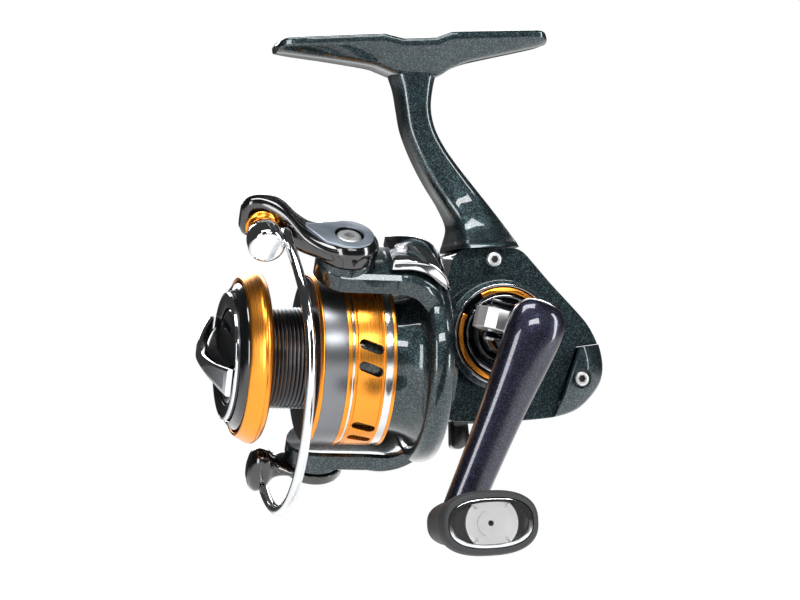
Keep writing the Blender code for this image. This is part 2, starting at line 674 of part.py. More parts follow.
def make_drag(shaft):
    bore = SHAFT_RADIUS + RUNNING
    ring("drag_washer_rear", 8.2, bore, 31.7, 32.5, shaft, FELT)
    ring("drag_plate", 8.2, bore, 32.8, 33.4, shaft, STEEL)
    ring("drag_washer_front", 8.2, bore, 33.7, 34.5, shaft, FELT)
    ring("drag_pressure_plate", 8.2, bore, 34.8, 35.6, shaft, STEEL)
    ring("drag_clip", 8.3, 7.4, 35.9, 36.4, shaft, STEEL)
    knob = [(0, 41.0), (DIAL_INNER - GAP, 41.0), (DIAL_INNER - GAP, 40.4), (DIAL_OUTER + GAP, 40.4),
            (DIAL_OUTER + GAP, 40.9), (14.2, 40.2), (KNOB_RADIUS, 39.4), (KNOB_RADIUS, 37.2),
            (6.6, 37.2), (6.6, 38.8), (0, 38.8)]
    body = turned("drag_knob", knob, shaft, BLACK, steps=40)
    dial = [(DIAL_OUTER - 0.5, 41.9), (DIAL_OUTER, 41.4), (DIAL_OUTER, 40.7), (DIAL_INNER, 40.7),
            (DIAL_INNER, 41.3)]
    turned("drag_dial_ring", dial, shaft, STEEL, steps=40)
    turn = frame("fin_frame", shaft, rotation=(0, 0, FIN_TURN))
    sections = []
    for reach in (-8.6, -6.4, -3.4, 0.0, 3.4, 6.4, 8.6):
        top = fin_height(reach) - FIN_THICKNESS - GAP
        sections.append(oval((reach, 0, (40.0 + top) / 2), (0, 1, 0), 2.4, (0, 0, 1), (top - 40.0) / 1.9))
    join(body, lofted("fin_core", sections, turn, BLACK))
    sections = []
    for i in range(13):
        reach = FIN_REACH * (2 * i / 12 - 1)
        top = fin_height(reach)
        half = 1.1 + 1.9 * abs(reach / FIN_REACH) ** 1.6
        sections.append([(reach, -half, top - FIN_THICKNESS), (reach, half, top - FIN_THICKNESS),
                         (reach, half, top - 0.4), (reach, half - 0.4, top), (reach, 0.4 - half, top),
                         (reach, -half, top - 0.4)])
    lofted("drag_fin", sections, turn, CHROME)
    nut = cylinder("drag_nut", 3.2, 37.0, 38.4, shaft, BRASS, sides=6)
    cut(nut, cylinder("drag_nut_bore", bore, 36, 39, shaft, BRASS))
    return body


# ---------------------------------------------------------------- rotor


def arms_profile():
    """Half of the section through both arms, as (radius, forward): up the inside, down the outside."""
    rear = ROTOR_REAR
    inner = ARM_REACH - ARM_THICKNESS
    outside = [(ARM_REACH, ARM_FRONT)] + arc(ARM_REACH - ARM_CORNER, rear + ARM_CORNER, ARM_CORNER, 0, -86, 7)
    inside = arc(inner - 6.0, rear + 9.0, 6.0, -90, 0, 5) + [(inner, ARM_FRONT)]
    return outside + [(14.4, rear + 0.2), (14.4, rear + 3.0)] + inside


def make_rotor(shaft, rotor):
    drum = [(ROTOR_DRUM_RADIUS, 17.4), (ROTOR_DRUM_RADIUS, 7.5), (15.6, 4.2), (17.2, 2.8), (17.8, 3.8),
            (19.4, 3.8), (FLANGE_RADIUS, 2.8), (FLANGE_RADIUS, 0.6), (19.6, ROTOR_REAR + 0.4),
            (18.4, ROTOR_REAR), (NOSE_RADIUS + 0.8, ROTOR_REAR), (NOSE_RADIUS + 0.8, 6.1), (2.6, 6.1),
            (2.6, 8.1), (12.4, 8.1), (12.4, 17.4)]
    body = turned("rotor", drum, shaft, PEARL, steps=40)
    cup = turned("arms_cup", arms_profile(), shaft, PEARL, steps=48)
    plan = [(-9.5, ROTOR_REAR - 1), (9.5, ROTOR_REAR - 1), (7.0, 5.0), (ARM_HALF_WIDTH, 10.0)]
    plan += arc(0, PIVOT_FORWARD, ARM_HALF_WIDTH, 0, 180, 13) + [(-ARM_HALF_WIDTH, 10.0), (-7.0, 5.0)]
    keep(cup, plate("arms_plan", plan, -30, 30, rotor, PEARL, rotation=(90, 0, 90)))
    join(body, cup)
    for name, turn, top in (("upper_boss", 90, UPPER_BOSS), ("lower_boss", -90, LOWER_BOSS)):
        where = dict(location=(0, 0, PIVOT_FORWARD), rotation=(0, turn, 0))
        low = ARM_REACH - ARM_THICKNESS + 1.5
        join(body, cylinder(name, ARM_HALF_WIDTH - 0.2, low, top, rotor, PEARL, **where))
        cut(body, cylinder(name + "_bore", 1.6, ARM_REACH - 6, top + 4, rotor, PEARL, sides=16, **where))
    nut = cylinder("rotor_nut", 4.2, 8.4, 10.2, shaft, STEEL, sides=6)
    cut(nut, cylinder("rotor_nut_bore", 2.2 + RUNNING, 8, 11, shaft, STEEL))
    return body


def make_arm_cover(rotor):
    """The chrome cover on the upper arm, hollow for the bail spring and the trip lever."""
    reach = ARM_REACH + GAP
    crown = ARM_REACH + COVER_RISE
    half = 5.0
    wall = 0.7
    bend = COVER_BEND
    outer = [(crown, COVER_FRONT)] + arc(crown - bend, ROTOR_REAR + bend, bend, 0, -62, 7)
    inner = arc(reach - ARM_CORNER, ROTOR_REAR + ARM_CORNER, ARM_CORNER, -50, 0, 6) + [(reach, COVER_FRONT)]
    cover = plate("arm_cover", outer + inner, -half, half, rotor, CHROME, rotation=(90, 0, 0))
    room = [(ARM_REACH - 2.0, COVER_FRONT - wall), (crown - wall, COVER_FRONT - wall),
            (crown - wall, ROTOR_REAR + bend), (crown - 1.5, 6.6), (crown - 3.0, 4.2),
            (ARM_REACH - 2.0, 4.2)]
    cut(cover, plate("cover_room", room[::-1], wall - half, half - wall, rotor, CHROME, rotation=(90, 0, 0)))
    across = dict(location=(0, 0, COVER_SCREW), rotation=(0, 90, 0))
    cut(cover, cylinder("cover_screw_bore", 1.6, crown - 2.0, crown + 2, rotor, CHROME, sides=16, **across))
    socket_screw("arm_cover_screw", 1.3, ARM_REACH + GAP, crown, rotor, **across)
    coil = []
    turns = 4
    per_turn = 8
    for i in range(turns * per_turn + 1):
        angle = 2 * math.pi * i / per_turn
        coil.append((reach + 0.7 + 0.5 * math.cos(angle), 2.55 + 0.5 * math.sin(angle),
                     8.2 + 3.3 * i / (turns * per_turn)))
    tube("bail_spring", coil, 0.2, rotor, STEEL)
    block("trip_lever", (0.9, 1.2, 4.6), rotor, STEEL, location=(reach + 0.6, -2.9, 9.4))
    return cover


# ---------------------------------------------------------------- bail


def oval(centre, axis_a, half_a, axis_b, half_b, count=12):
    """A closed ring of points in the plane of two axes."""
    found = []
    for i in range(count):
        angle = 2 * math.pi * (i + 0.5) / count
        offset = Vector(axis_a) * half_a * math.cos(angle) + Vector(axis_b) * half_b * math.sin(angle)
        found.append(tuple(Vector(centre) + offset))
    return found


def bail_wire_points():
    """From the cap beside the line roller, round the crank side of the spool, to the holder."""
    points = [(ROLLER_REACH, -2.0, ROLLER_FORWARD - 1.2), (WIRE_REACH - 0.3, -1.2, WIRE_FORWARD + 4.6)]
    count = 26
    for i in range(count + 1):
        angle = math.radians(3.0 + 171.0 * i / count)
        share = (1 + math.cos(angle)) / 2
        points.append((WIRE_REACH * math.cos(angle), 0.4 * share - BAIL_REACH * math.sin(angle),
                       WIRE_FORWARD + WIRE_LIFT * share**12))
    return points


def make_bail(rotor):
    hub_low = UPPER_BOSS + GAP
    hub_high = hub_low + BAIL_HUB_THICKNESS
    arm = cylinder("bail_arm", PIVOT_RADIUS, hub_low, hub_high, rotor, BLACK,
                   location=(0, 0, PIVOT_FORWARD), rotation=(0, 90, 0))
    up, side, ahead = (1, 0, 0), (0, 1, 0), (0, 0, 1)
    middle = hub_low + BAIL_HUB_THICKNESS / 2
    sections = [
        oval((middle, 0, PIVOT_FORWARD), up, 2.1, side, 5.9),
        oval((middle + 0.4, 0.6, 25.6), up, 2.5, side, 5.6),
        oval((middle + 1.2, 2.6, 30.4), up, 3.0, side, 4.6),
        oval((middle + 2.0, 5.6, 34.2), up, 3.9, side, 2.3),
        oval((middle + 2.2, 5.9, 38.0), up, 4.4, side, 1.8),
        oval((middle + 2.0, 5.9, 41.0), up, 3.2, side, 1.4),
    ]
    join(arm, lofted("bail_arm_reach", sections, rotor, BLACK))
    cut(arm, cylinder("bail_screw_seat", 3.0, hub_high - 1.6, hub_high + 2, rotor, BLACK,
                      location=(0, 0, PIVOT_FORWARD), rotation=(0, 90, 0), sides=16))
    cut(arm, cylinder("bail_screw_bore", 1.6, hub_low - 1, hub_high + 2, rotor, BLACK,
                      location=(0, 0, PIVOT_FORWARD), rotation=(0, 90, 0), sides=16))
    screw = cylinder("bail_arm_screw", 1.2, ARM_REACH - 2.4, hub_high - 1.0, rotor, STEEL,
                     location=(0, 0, PIVOT_FORWARD), rotation=(0, 90, 0), sides=16)
    join(screw, cylinder("bail_arm_screw_head", 2.6, hub_high - 1.3, hub_high - 0.2, rotor, STEEL,
                         location=(0, 0, PIVOT_FORWARD), rotation=(0, 90, 0), sides=20))
    spot = (ROLLER_REACH, 0, ROLLER_FORWARD)
    cut(arm, cylinder("roller_screw_bore", 0.95, -8, 8, rotor, BLACK, location=spot, rotation=(90, 0, 0),
                      sides=16))
    ring_profile = [(ROLLER_RADIUS, 1.3), (2.7, 0.7), (2.7, -0.7), (ROLLER_RADIUS, -1.3),
                    (0.8 + RUNNING, -1.3), (0.8 + RUNNING, 1.3)]
    roller = turned("line_roller", ring_profile, rotor, GOLD, location=(spot[0], 1.5, spot[2]),
                    rotation=(90, 0, 0), steps=24)
    cap = [(0, 5.4), (3.0, 5.4), (3.7, 4.6), (3.7, 1.8), (3.3, 0.0), (0, 0.0)]
    wire = tube("bail_wire", bail_wire_points(), BAIL_WIRE_RADIUS, rotor, CHROME)
    join(wire, turned("bail_cap", cap, rotor, CHROME, location=(spot[0], -0.2, spot[2]),
                      rotation=(90, 0, 0), steps=24))
    cut(wire, cylinder("cap_bore", 0.95, -2.0, 4.0, rotor, CHROME, location=(spot[0], -0.2, spot[2]),
                       rotation=(90, 0, 0), sides=16))
    cylinder("roller_screw", 0.7, -6.2, 3.4, rotor, STEEL, location=spot, rotation=(90, 0, 0), sides=16)
    return roller, screw


def make_bail_holder(rotor):
    low = LOWER_BOSS + GAP
    high = low + HOLDER_THICKNESS
    holder = cylinder("bail_holder", PIVOT_RADIUS, low, high, rotor, BLACK,
                      location=(0, 0, PIVOT_FORWARD), rotation=(0, -90, 0))
    up, side = (1, 0, 0), (0, 1, 0)
    sections = [
        oval((-low - 1.1, 0, PIVOT_FORWARD), up, 1.1, side, 5.4),
        oval((-low - 1.1, 0.2, 26.0), up, 1.4, side, 3.8),
        oval((-low - 1.6, 0.0, 28.2), up, 2.2, side, 2.6),
        oval((-low - 2.0, -0.4, 29.6), up, 4.2, side, 3.0),
        oval((-low - 2.4, -0.4, 31.6), up, 4.8, side, 3.2),
        oval((-low - 2.4, -0.4, 33.6), up, 3.4, side, 2.2),
    ]
    join(holder, lofted("bail_holder_reach", sections, rotor, BLACK))
    ends = bail_wire_points()[-4:]
    cut(holder, tube("wire_socket", ends[:3] + [tuple(Vector(ends[3]) * 1.6 - Vector(ends[2]) * 0.6)],
                     BAIL_WIRE_RADIUS + GAP, rotor, BLACK))
    for name, radius, seat in (("holder_screw_seat", 2.6, high - 0.9), ("holder_screw_bore", 1.6, low - 1)):
        cut(holder, cylinder(name, radius, seat, high + 2, rotor, BLACK,
                             location=(0, 0, PIVOT_FORWARD), rotation=(0, -90, 0), sides=16))
    screw = cylinder("bail_holder_screw", 1.2, ARM_REACH - 2.4, high - 0.3, rotor, STEEL,
                     location=(0, 0, PIVOT_FORWARD), rotation=(0, -90, 0), sides=16)
    join(screw, cylinder("bail_holder_screw_head", 2.2, high - 0.6, high + 0.1, rotor, STEEL,
                         location=(0, 0, PIVOT_FORWARD), rotation=(0, -90, 0), sides=20))
    return holder


# ---------------------------------------------------------------- crank


def make_trim_ring(crank):
    face = CASE_HALF_WIDTH + 0.4 + GAP
    silver = [(RING_RADIUS, face + 0.8), (RING_RADIUS, face), (6.4, face), (6.4, face + 1.3),
              (7.9, face + 1.3), (8.2, face + 0.5), (9.7, face + 0.5), (9.8, face + 0.8)]
    turned("trim_ring", silver, crank, CHROME, steps=40)
    for name, start, end in (("trim_inlay_upper", 20, 118), ("trim_inlay_lower", 150, 262)):
        outline = arc(0, 0, 9.5, start, end, 12) + arc(0, 0, 8.5, end, start, 12)
        plate(name, outline, face + 0.8, face + 1.1, crank, GOLD)


def make_handle(crank, fold):
    """The shank with its fold joint, the arm, the spindle of the knob and the cap on the far side."""
    base = CASE_HALF_WIDTH + 0.4 + GAP
    hub = [(0, 22.6), (3.2, 22.6), (4.6, 21.4), (5.4, base + 3.4), (5.4, base + 0.6),
           (DRIVE_SHAFT_RADIUS + RUNNING, base + 0.6), (DRIVE_SHAFT_RADIUS + RUNNING, CASE_HALF_WIDTH + 2.0),
           (0, CASE_HALF_WIDTH + 2.0)]
    shank = turned("handle_shank", hub, crank, CHROME, steps=32)
    neck = []
    for height, half_x, half_y in ((20.6, 3.0, 4.4), (23.6, 2.3, 4.4), (30.6, 2.3, 4.4), (31.6, 1.8, 3.8)):
        neck.append((height, [(NECK_SHIFT + x, 1.4 + y) for x, y in super_oval(half_x, half_y, 3.0, 20)]))
    join(shank, layered("shank_neck", neck, crank, CHROME))
    for name, low, high in (("ear_above", 2.5, 3.7), ("ear_below", -3.7, -2.5)):
        ear = block(name, (8.0, 3.4, high - low), fold, CHROME, location=(2.4, 0, (low + high) / 2))
        join(shank, ear)
    cut(shank, cylinder("fold_pin_bore", 1.3, -6, 6, fold, CHROME, sides=16))
    nut = cylinder("fold_lock_nut", NUT_RADIUS, -2.1, 2.1, fold, CHROME, sides=10)
    cut(nut, cylinder("lock_nut_bore", 1.3, -4, 4, fold, CHROME, sides=16))
    cylinder("fold_pin", 1.0, -4.0, 4.0, fold, STEEL, sides=16)
    drop = math.radians(CRANK_DROP)
    along = Vector((-math.cos(drop), -math.sin(drop), 0))
    across = Vector((math.sin(drop), -math.cos(drop), 0))
    out = Vector((0, 0, 1))
    sections = []
    for reach, rise, half_w, half_t in ((-5.4, -0.6, 2.2, 1.5), (-4.6, -0.4, 4.0, 2.6),
                                        (-2.6, -0.2, 5.3, 3.4), (1.0, 0.0, 5.6, 3.8),
                                        (7.0, 0.0, 5.2, 3.7), (17.0, -0.2, 4.4, 3.3),
                                        (29.0, -0.5, 3.9, 3.0), (37.0, -0.7, 3.7, 2.9),
                                        (CRANK_LENGTH + 1.4, -0.7, 3.5, 2.8),
                                        (CRANK_LENGTH + 3.2, -0.7, 2.4, 2.0)):
        centre = along * reach + out * (ARM_PLANE + rise) - across * (0.6 + 0.006 * reach)
        sections.append(oval(centre, across, half_w, out, half_t, 16))
    arm = lofted("handle_arm", sections, crank, VIOLET)
    root = []
    for height, half in ((31.9, 3.2), (32.6, 4.0), (34.8, 4.5), (ARM_PLANE, 4.8)):
        root.append((height, [(NECK_SHIFT * 0.5 + x, y) for x, y in super_oval(half, half, 2.4, 20)]))
    join(arm, layered("arm_root", root, crank, VIOLET))
    end = along * CRANK_LENGTH
    cut(arm, cylinder("spindle_seat", SPINDLE_RADIUS + GAP, ARM_PLANE - 0.6, ARM_PLANE + 8, crank, VIOLET,
                      location=(end.x, end.y, 0), sides=16))
    tip = ARM_PLANE + KNOB_STAND + HANDLE_KNOB_LENGTH - 3.0
    cylinder("knob_spindle", SPINDLE_RADIUS, ARM_PLANE - 0.3, tip, crank, STEEL,
             location=(end.x, end.y, 0), sides=16)
    face = -CASE_HALF_WIDTH - 0.8 - GAP
    turned("far_cap", [(0, face), (5.4, face), (5.9, face - 0.4), (5.9, face - 1.8), (5.2, face - 2.5),
                       (0, face - 2.7)], crank, BLACK, steps=24)


def super_oval(half_x, half_y, power, count=28):
    found = []
    for i in range(count):
        angle = 2 * math.pi * i / count
        c, s = math.cos(angle), math.sin(angle)
        found.append((half_x * math.copysign(abs(c) ** (2 / power), c),
                      half_y * math.copysign(abs(s) ** (2 / power), s)))
    return found


def make_knob(knob):
    """The T-shaped knob, with its length along local Z."""
    length = HANDLE_KNOB_LENGTH
    w, h = HANDLE_KNOB_WIDTH / 2, HANDLE_KNOB_HEIGHT / 2
    layers = []
    for height, grow_w, grow_h in ((0.0, 0.74, 0.62), (1.2, 0.88, 0.76), (6.0, 0.90, 0.78),
                                   (12.0, 0.95, 0.88), (16.4, 1.0, 1.0), (18.2, 0.99, 0.98),
                                   (length, 0.93, 0.90)):
        layers.append((height, super_oval(w * grow_w, h * grow_h, 2.6)))
    grip = layered("handle_knob", layers, knob, RUBBER)
    cut(grip, cylinder("knob_bore", SPINDLE_RADIUS + RUNNING, -2, length - 2.4, knob, RUBBER, sides=16))
    cut(grip, plate("knob_face_seat", super_oval(w * 0.84, h * 0.76, 2.4), length - 1.0, length + 1, knob,
                    RUBBER))
    cap = plate("knob_plate", super_oval(w * 0.84 - GAP, h * 0.76 - GAP, 2.4), length - 0.7, length + 0.2,
                knob, CHROME)
    cut(cap, cylinder("knob_plate_hole", 0.55, length - 2, length + 2, knob, CHROME, sides=12))
    for name, side in (("crescent_front", -1), ("crescent_rear", 1)):
        window = [(side * x, y) for x, y in arc(0, 0, 4.9, -44, 44, 7) + [(6.4, 2.6), (7.0, 0.0), (6.4, -2.6)]]
        cut(cap, plate(name, window if side > 0 else window[::-1], length - 0.3, length + 2, knob, CHROME))
    return grip


PARTS = collection("spinning_reel")
CUTTERS = collection("cutters")

PEARL = paint("green_black_pearl", (0.012, 0.022, 0.026), 0.25, 0.4)
VIOLET = paint("violet_black_pearl", (0.016, 0.013, 0.026), 0.25, 0.4)
GOLD = paint("gold_anodised", (0.75, 0.28, 0.025), 0.28, 1.0)
CHROME = paint("polished_chrome", (0.75, 0.75, 0.75), 0.08, 1.0)
STEEL = paint("stainless_steel", (0.55, 0.55, 0.55), 0.25, 1.0)
BRASS = paint("brass", (0.60, 0.42, 0.14), 0.35, 1.0)
BLACK = paint("gloss_black", (0.01, 0.01, 0.012), 0.15, 0.0)
RUBBER = paint("dark_rubber", (0.02, 0.02, 0.021), 0.75, 0.0)
FELT = paint("felt", (0.10, 0.09, 0.07), 0.95, 0.0)


def main():
    clear_scene()
    side = side_view("side_view")
    shaft = frame("shaft_axis", location=(0, 0, SHAFT_HEIGHT), rotation=(0, SHAFT_TILT - 90, 0))
    rotor = frame("rotor_arms", shaft, rotation=(0, 0, -ARM_LEAN))
    crank_x, crank_z = to_side(CRANK_FORWARD, CRANK_RISE)
    crank = frame("crank_axis", location=(crank_x, 0, crank_z), rotation=(90, 0, 0))
    osc_x, osc_z = to_side(OSCILLATION_FORWARD, OSCILLATION_RISE)
    oscillator = frame("oscillation_axis", location=(osc_x, 0, osc_z), rotation=(90, 0, 0))
    drop = math.radians(CRANK_DROP)
    knob = frame("knob_axis", crank, location=(-CRANK_LENGTH * math.cos(drop), -CRANK_LENGTH * math.sin(drop),
                                               ARM_PLANE + KNOB_STAND))
    fold = frame("fold_axis", crank, location=(-5.8, 2.7, 27.2), rotation=(-90, 0, -FOLD_LEAN))

    make_housing(side, shaft, crank)
    make_side_cover(side, shaft, crank)
    make_rear_cover(side)
    make_case_screws(side)
    make_reverse_lever(side)
    make_trim_ring(crank)
    make_pinion(shaft)
    make_drive_gear(crank)
    make_drive(crank)
    make_nose_parts(shaft)
    make_oscillation(crank, oscillator)
    make_main_shaft(shaft)
    make_spool(shaft)
    make_drag(shaft)
    make_rotor(shaft, rotor)
    make_arm_cover(rotor)
    make_bail(rotor)
    make_bail_holder(rotor)
    make_handle(crank, fold)
    make_knob(knob)


main()
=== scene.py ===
"""Looks of an open-face spinning reel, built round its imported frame.

Lengths are millimetres until a mesh is made. Three frames carry the pieces: the spool shaft's, the
rotor arms' (the shaft's, turned so that X runs along the upper arm) and the crank's.
"""

import json
import logging
import math
from dataclasses import dataclass
from enum import Enum
from typing import Any

import bmesh
import bpy
import numpy as np
from mathutils import Matrix, Vector

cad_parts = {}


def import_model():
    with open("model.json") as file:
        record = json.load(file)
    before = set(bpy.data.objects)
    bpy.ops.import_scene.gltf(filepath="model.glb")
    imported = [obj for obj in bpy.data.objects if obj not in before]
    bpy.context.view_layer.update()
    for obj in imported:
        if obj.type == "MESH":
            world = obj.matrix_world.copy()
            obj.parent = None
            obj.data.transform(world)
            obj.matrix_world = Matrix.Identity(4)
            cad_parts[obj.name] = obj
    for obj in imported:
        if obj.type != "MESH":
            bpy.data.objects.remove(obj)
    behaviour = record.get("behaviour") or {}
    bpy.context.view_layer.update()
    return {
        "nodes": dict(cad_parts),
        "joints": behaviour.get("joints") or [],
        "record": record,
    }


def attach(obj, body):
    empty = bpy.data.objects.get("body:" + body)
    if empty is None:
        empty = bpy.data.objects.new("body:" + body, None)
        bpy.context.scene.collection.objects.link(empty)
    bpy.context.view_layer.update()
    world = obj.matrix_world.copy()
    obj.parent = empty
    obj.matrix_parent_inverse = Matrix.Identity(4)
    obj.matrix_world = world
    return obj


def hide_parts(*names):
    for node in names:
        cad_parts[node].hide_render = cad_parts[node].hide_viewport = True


Array = np.ndarray
MM = 0.001
TURN = 2.0 * math.pi
LOG = logging.getLogger("reel")

HALF_WIDTH = 11.8  # of the gear case, across the reel
PIVOT = 20.3  # the bail's axis, ahead of the rotor's origin
UPPER_HUB = 25.0  # outer face of the upper arm's hub, from the shaft
LOWER_HUB = 24.6  # the same of the lower arm
GAP = 0.3  # between a moving piece and its neighbour
CRISP = 0.001  # rim radius of tools and of faces that stay sharp
GOLD = "#EC983A"


# ---------------------------------------------------------------- frames and solids


@dataclass(frozen=True)
class Axes:
    """A right-handed frame: an origin and three unit rows, in millimetres of the row frame."""

    origin: Array
    rows: Array

    def place(self, local: Array) -> Array:
        """Local points carried to the row frame."""
        return self.origin + local @ self.rows

    def turned(self, degrees: float) -> "Axes":
        """This frame turned about its own Z."""
        c, s = math.cos(math.radians(degrees)), math.sin(math.radians(degrees))
        return Axes(self.origin, np.array([[c, s, 0.0], [-s, c, 0.0], [0.0, 0.0, 1.0]]) @ self.rows)

    def at(self, point: tuple[float, float, float]) -> "Axes":
        """This frame moved to one of its own points."""
        return Axes(self.place(np.array(point)), self.rows)

    def facing(self, x: tuple[float, ...], z: tuple[float, ...]) -> "Axes":
        """A frame at the same origin, turned.

        Args:
            x: The new X, as a local direction.
            z: The new Z, square to it.

        Returns:
            The frame.
        """
        right, out = np.array(x, float), np.array(z, float)
        right, out = right / np.linalg.norm(right), out / np.linalg.norm(out)
        return Axes(self.origin, np.array([right, np.cross(out, right), out]) @ self.rows)


@dataclass
class Solid:
    """A closed surface: points in the row frame and faces as lists of point numbers."""

    points: Array
    faces: list[list[int]]


def skin(grid: Array, loop: bool = False) -> Solid:
    """A surface over a grid whose rows are closed rings.

    Point (i, j) joins (i, j+1), (i+1, j+1) and (i+1, j). The last column meets the first. Ends are
    closed by one flat face each, or the last row meets the first.

    Args:
        grid: Points of shape (rows, columns, 3).
        loop: Whether the last row meets the first.

    Returns:
        The closed surface.
    """
    rows, columns = grid.shape[:2]
    index = np.arange(rows * columns).reshape(rows, columns)
    right = np.roll(index, -1, axis=1)
    lower = np.roll(index, -1, axis=0)
    corner = np.roll(right, -1, axis=0)
    faces = np.stack([index, right, corner, lower], axis=-1)
    faces = faces if loop else faces[:-1]
    made = faces.reshape(-1, 4).tolist()
    if not loop:
        made += [index[0][::-1].tolist(), index[-1].tolist()]
    return Solid(grid.reshape(-1, 3), made)


def rounded(corners: list[tuple[float, ...]] | Array, reach: float | list[float],
            steps: int = 5) -> Array:
    """A closed outline whose corners are parabolic arcs.

    Each corner P is replaced by (1-s)^2 A + 2s(1-s) P + s^2 B for s from 0 to 1, where A and B lie on
    its two sides at the reach, or at 0.45 of a side shorter than that.

    Args:
        corners: The corner points, in order.
        reach: How far along its sides each corner is rounded, in mm.
        steps: Points on each arc.

    Returns:
        The outline's points.
    """
    peak = np.asarray(corners, float)
    before = np.roll(peak, 1, axis=0) - peak
    after = np.roll(peak, -1, axis=0) - peak
    size = np.broadcast_to(np.asarray(reach, float), len(peak))[:, None]
    long_before = np.linalg.norm(before, axis=1, keepdims=True)
    long_after = np.linalg.norm(after, axis=1, keepdims=True)
    first = peak + before / long_before * np.minimum(size, 0.45 * long_before)
    last = peak + after / long_after * np.minimum(size, 0.45 * long_after)
    s = np.linspace(0.0, 1.0, steps)[None, :, None]
    line = (1 - s) ** 2 * first[:, None] + 2 * s * (1 - s) * peak[:, None] + s**2 * last[:, None]
    return line.reshape(-1, peak.shape[1])


def arc(centre: tuple[float, float], radius: float, start: float, end: float, count: int) -> Array:
    """Points at a radius from a centre, at even angles from start to end in degrees."""
    angle = np.radians(np.linspace(start, end, count))
    return np.array(centre) + radius * np.stack([np.cos(angle), np.sin(angle)], axis=-1)


def super_oval(half_x: float, half_y: float, power: float, count: int = 64) -> Array:
    """The curve |x/a|^p + |y/b|^p = 1, at even parameter angles.

    Args:
        half_x: The half axis a.
        half_y: The half axis b.
        power: The exponent p.
        count: How many points.

    Returns:
        The points, counterclockwise.
    """
    angle = TURN * np.arange(count) / count
    c, s = np.cos(angle), np.sin(angle)
    x = half_x * np.sign(c) * np.abs(c) ** (2 / power)
    y = half_y * np.sign(s) * np.abs(s) ** (2 / power)
    return np.stack([x, y], axis=-1)


def flowing(rows: Array, count: int) -> Array:
    """Rows of numbers resampled along one smooth curve.

    A Catmull-Rom cubic passes through every row, with even steps of its parameter between them.

    Args:
        rows: Values of shape (n, k).
        count: How many rows come out.

    Returns:
        Values of shape (count, k).
    """
    rows = np.asarray(rows, float)
    padded = np.concatenate([2 * rows[:1] - rows[1:2], rows, 2 * rows[-1:] - rows[-2:-1]])
    spot = np.linspace(0, len(rows) - 1, count)
    base = np.minimum(spot.astype(int), len(rows) - 2)
    t = (spot - base)[:, None]
    a, b, c, d = (padded[base + k] for k in range(4))
    return b + 0.5 * t * (c - a + t * (2 * a - 5 * b + 4 * c - d + t * (3 * (b - c) + d - a)))


def inset(outline: Array, distance: float) -> Array:
    """An outline moved inwards along its corners' bisectors.

    Args:
        outline: Counterclockwise points.
        distance: How far each point moves, in mm.

    Returns:
        The moved points.
    """
    before = outline - np.roll(outline, 1, axis=0)
    after = np.roll(outline, -1, axis=0) - outline
    normal = sum(np.stack([-side[:, 1], side[:, 0]], axis=-1) for side in (before, after))
    length = np.linalg.norm(normal, axis=1, keepdims=True)
    return outline + distance * normal / np.maximum(length, 1e-9)


def revolved(profile: Array, axes: Axes, steps: int) -> Array:
    """The rings of a profile turned about the frame's Z: point (i, j) is (r_i cos t_j, r_i sin t_j, z_i).

    Args:
        profile: Rows of radius and height.
        axes: The frame.
        steps: Points of each ring.

    Returns:
        A grid of points in the row frame.
    """
    angle = TURN * np.arange(steps) / steps
    radius, height = profile[:, :1], profile[:, 1:]
    grid = [radius * np.cos(angle), radius * np.sin(angle), height + 0 * angle]
    return axes.place(np.stack(grid, axis=-1))


def turned(profile: Array, axes: Axes, steps: int = 96) -> Solid:
    """A closed profile of (radius, height) turned about the frame's Z."""
    return skin(revolved(profile, axes, steps), loop=True)


def spun(profile: list[tuple[float, float]], axes: Axes, edge: float | list[float] = 0.15,
         steps: int = 96, arc_steps: int = 4) -> Solid:
    """A turned solid whose profile is given by its corners, each softened by an edge radius."""
    return turned(rounded(profile, edge, arc_steps), axes, steps)


def capped(profile: list[tuple[float, float]], axes: Axes, edge: float = 0.2, steps: int = 96,
           arc_steps: int = 4) -> Solid:
    """A turned solid that reaches its axis at both ends.

    The two end rings, of almost no radius, are closed by a face each.

    Args:
        profile: Corners of (radius, height), the first and the last on the axis.
        axes: The frame.
        edge: How far each corner between those two is softened.
        steps: Points of each ring.
        arc_steps: Rings of each softened corner.

    Returns:
        The solid.
    """
    line = rounded(profile, edge, arc_steps)[arc_steps:-arc_steps]
    pin = 0.02
    line = np.concatenate([[(pin, profile[0][1])], line, [(pin, profile[-1][1])]])
    return skin(revolved(line, axes, steps))


def slab(outline: Array, low: float, high: float, axes: Axes, edge: float = 0.3,
         steps: int = 4) -> Solid:
    """A flat solid with rounded rims.

    Each ring is the outline moved inwards by e(1 - cos t) at a height e(1 - sin t) from its face, so
    that a quarter circle of radius e joins the face to the side.

    Args:
        outline: Counterclockwise points of the frame's XY plane.
        low: Height of the lower face.
        high: Height of the upper face.
        axes: The frame.
        edge: Radius of both rims.
        steps: Rings of each rim.

    Returns:
        The solid.
    """
    t = np.linspace(0.0, math.pi / 2, steps)
    lower = [(edge * (1 - math.sin(a)), low + edge * (1 - math.cos(a))) for a in t]
    upper = [(edge * (1 - math.sin(a)), high - edge * (1 - math.cos(a))) for a in t[::-1]]
    return layers(outline, lower + upper, axes)


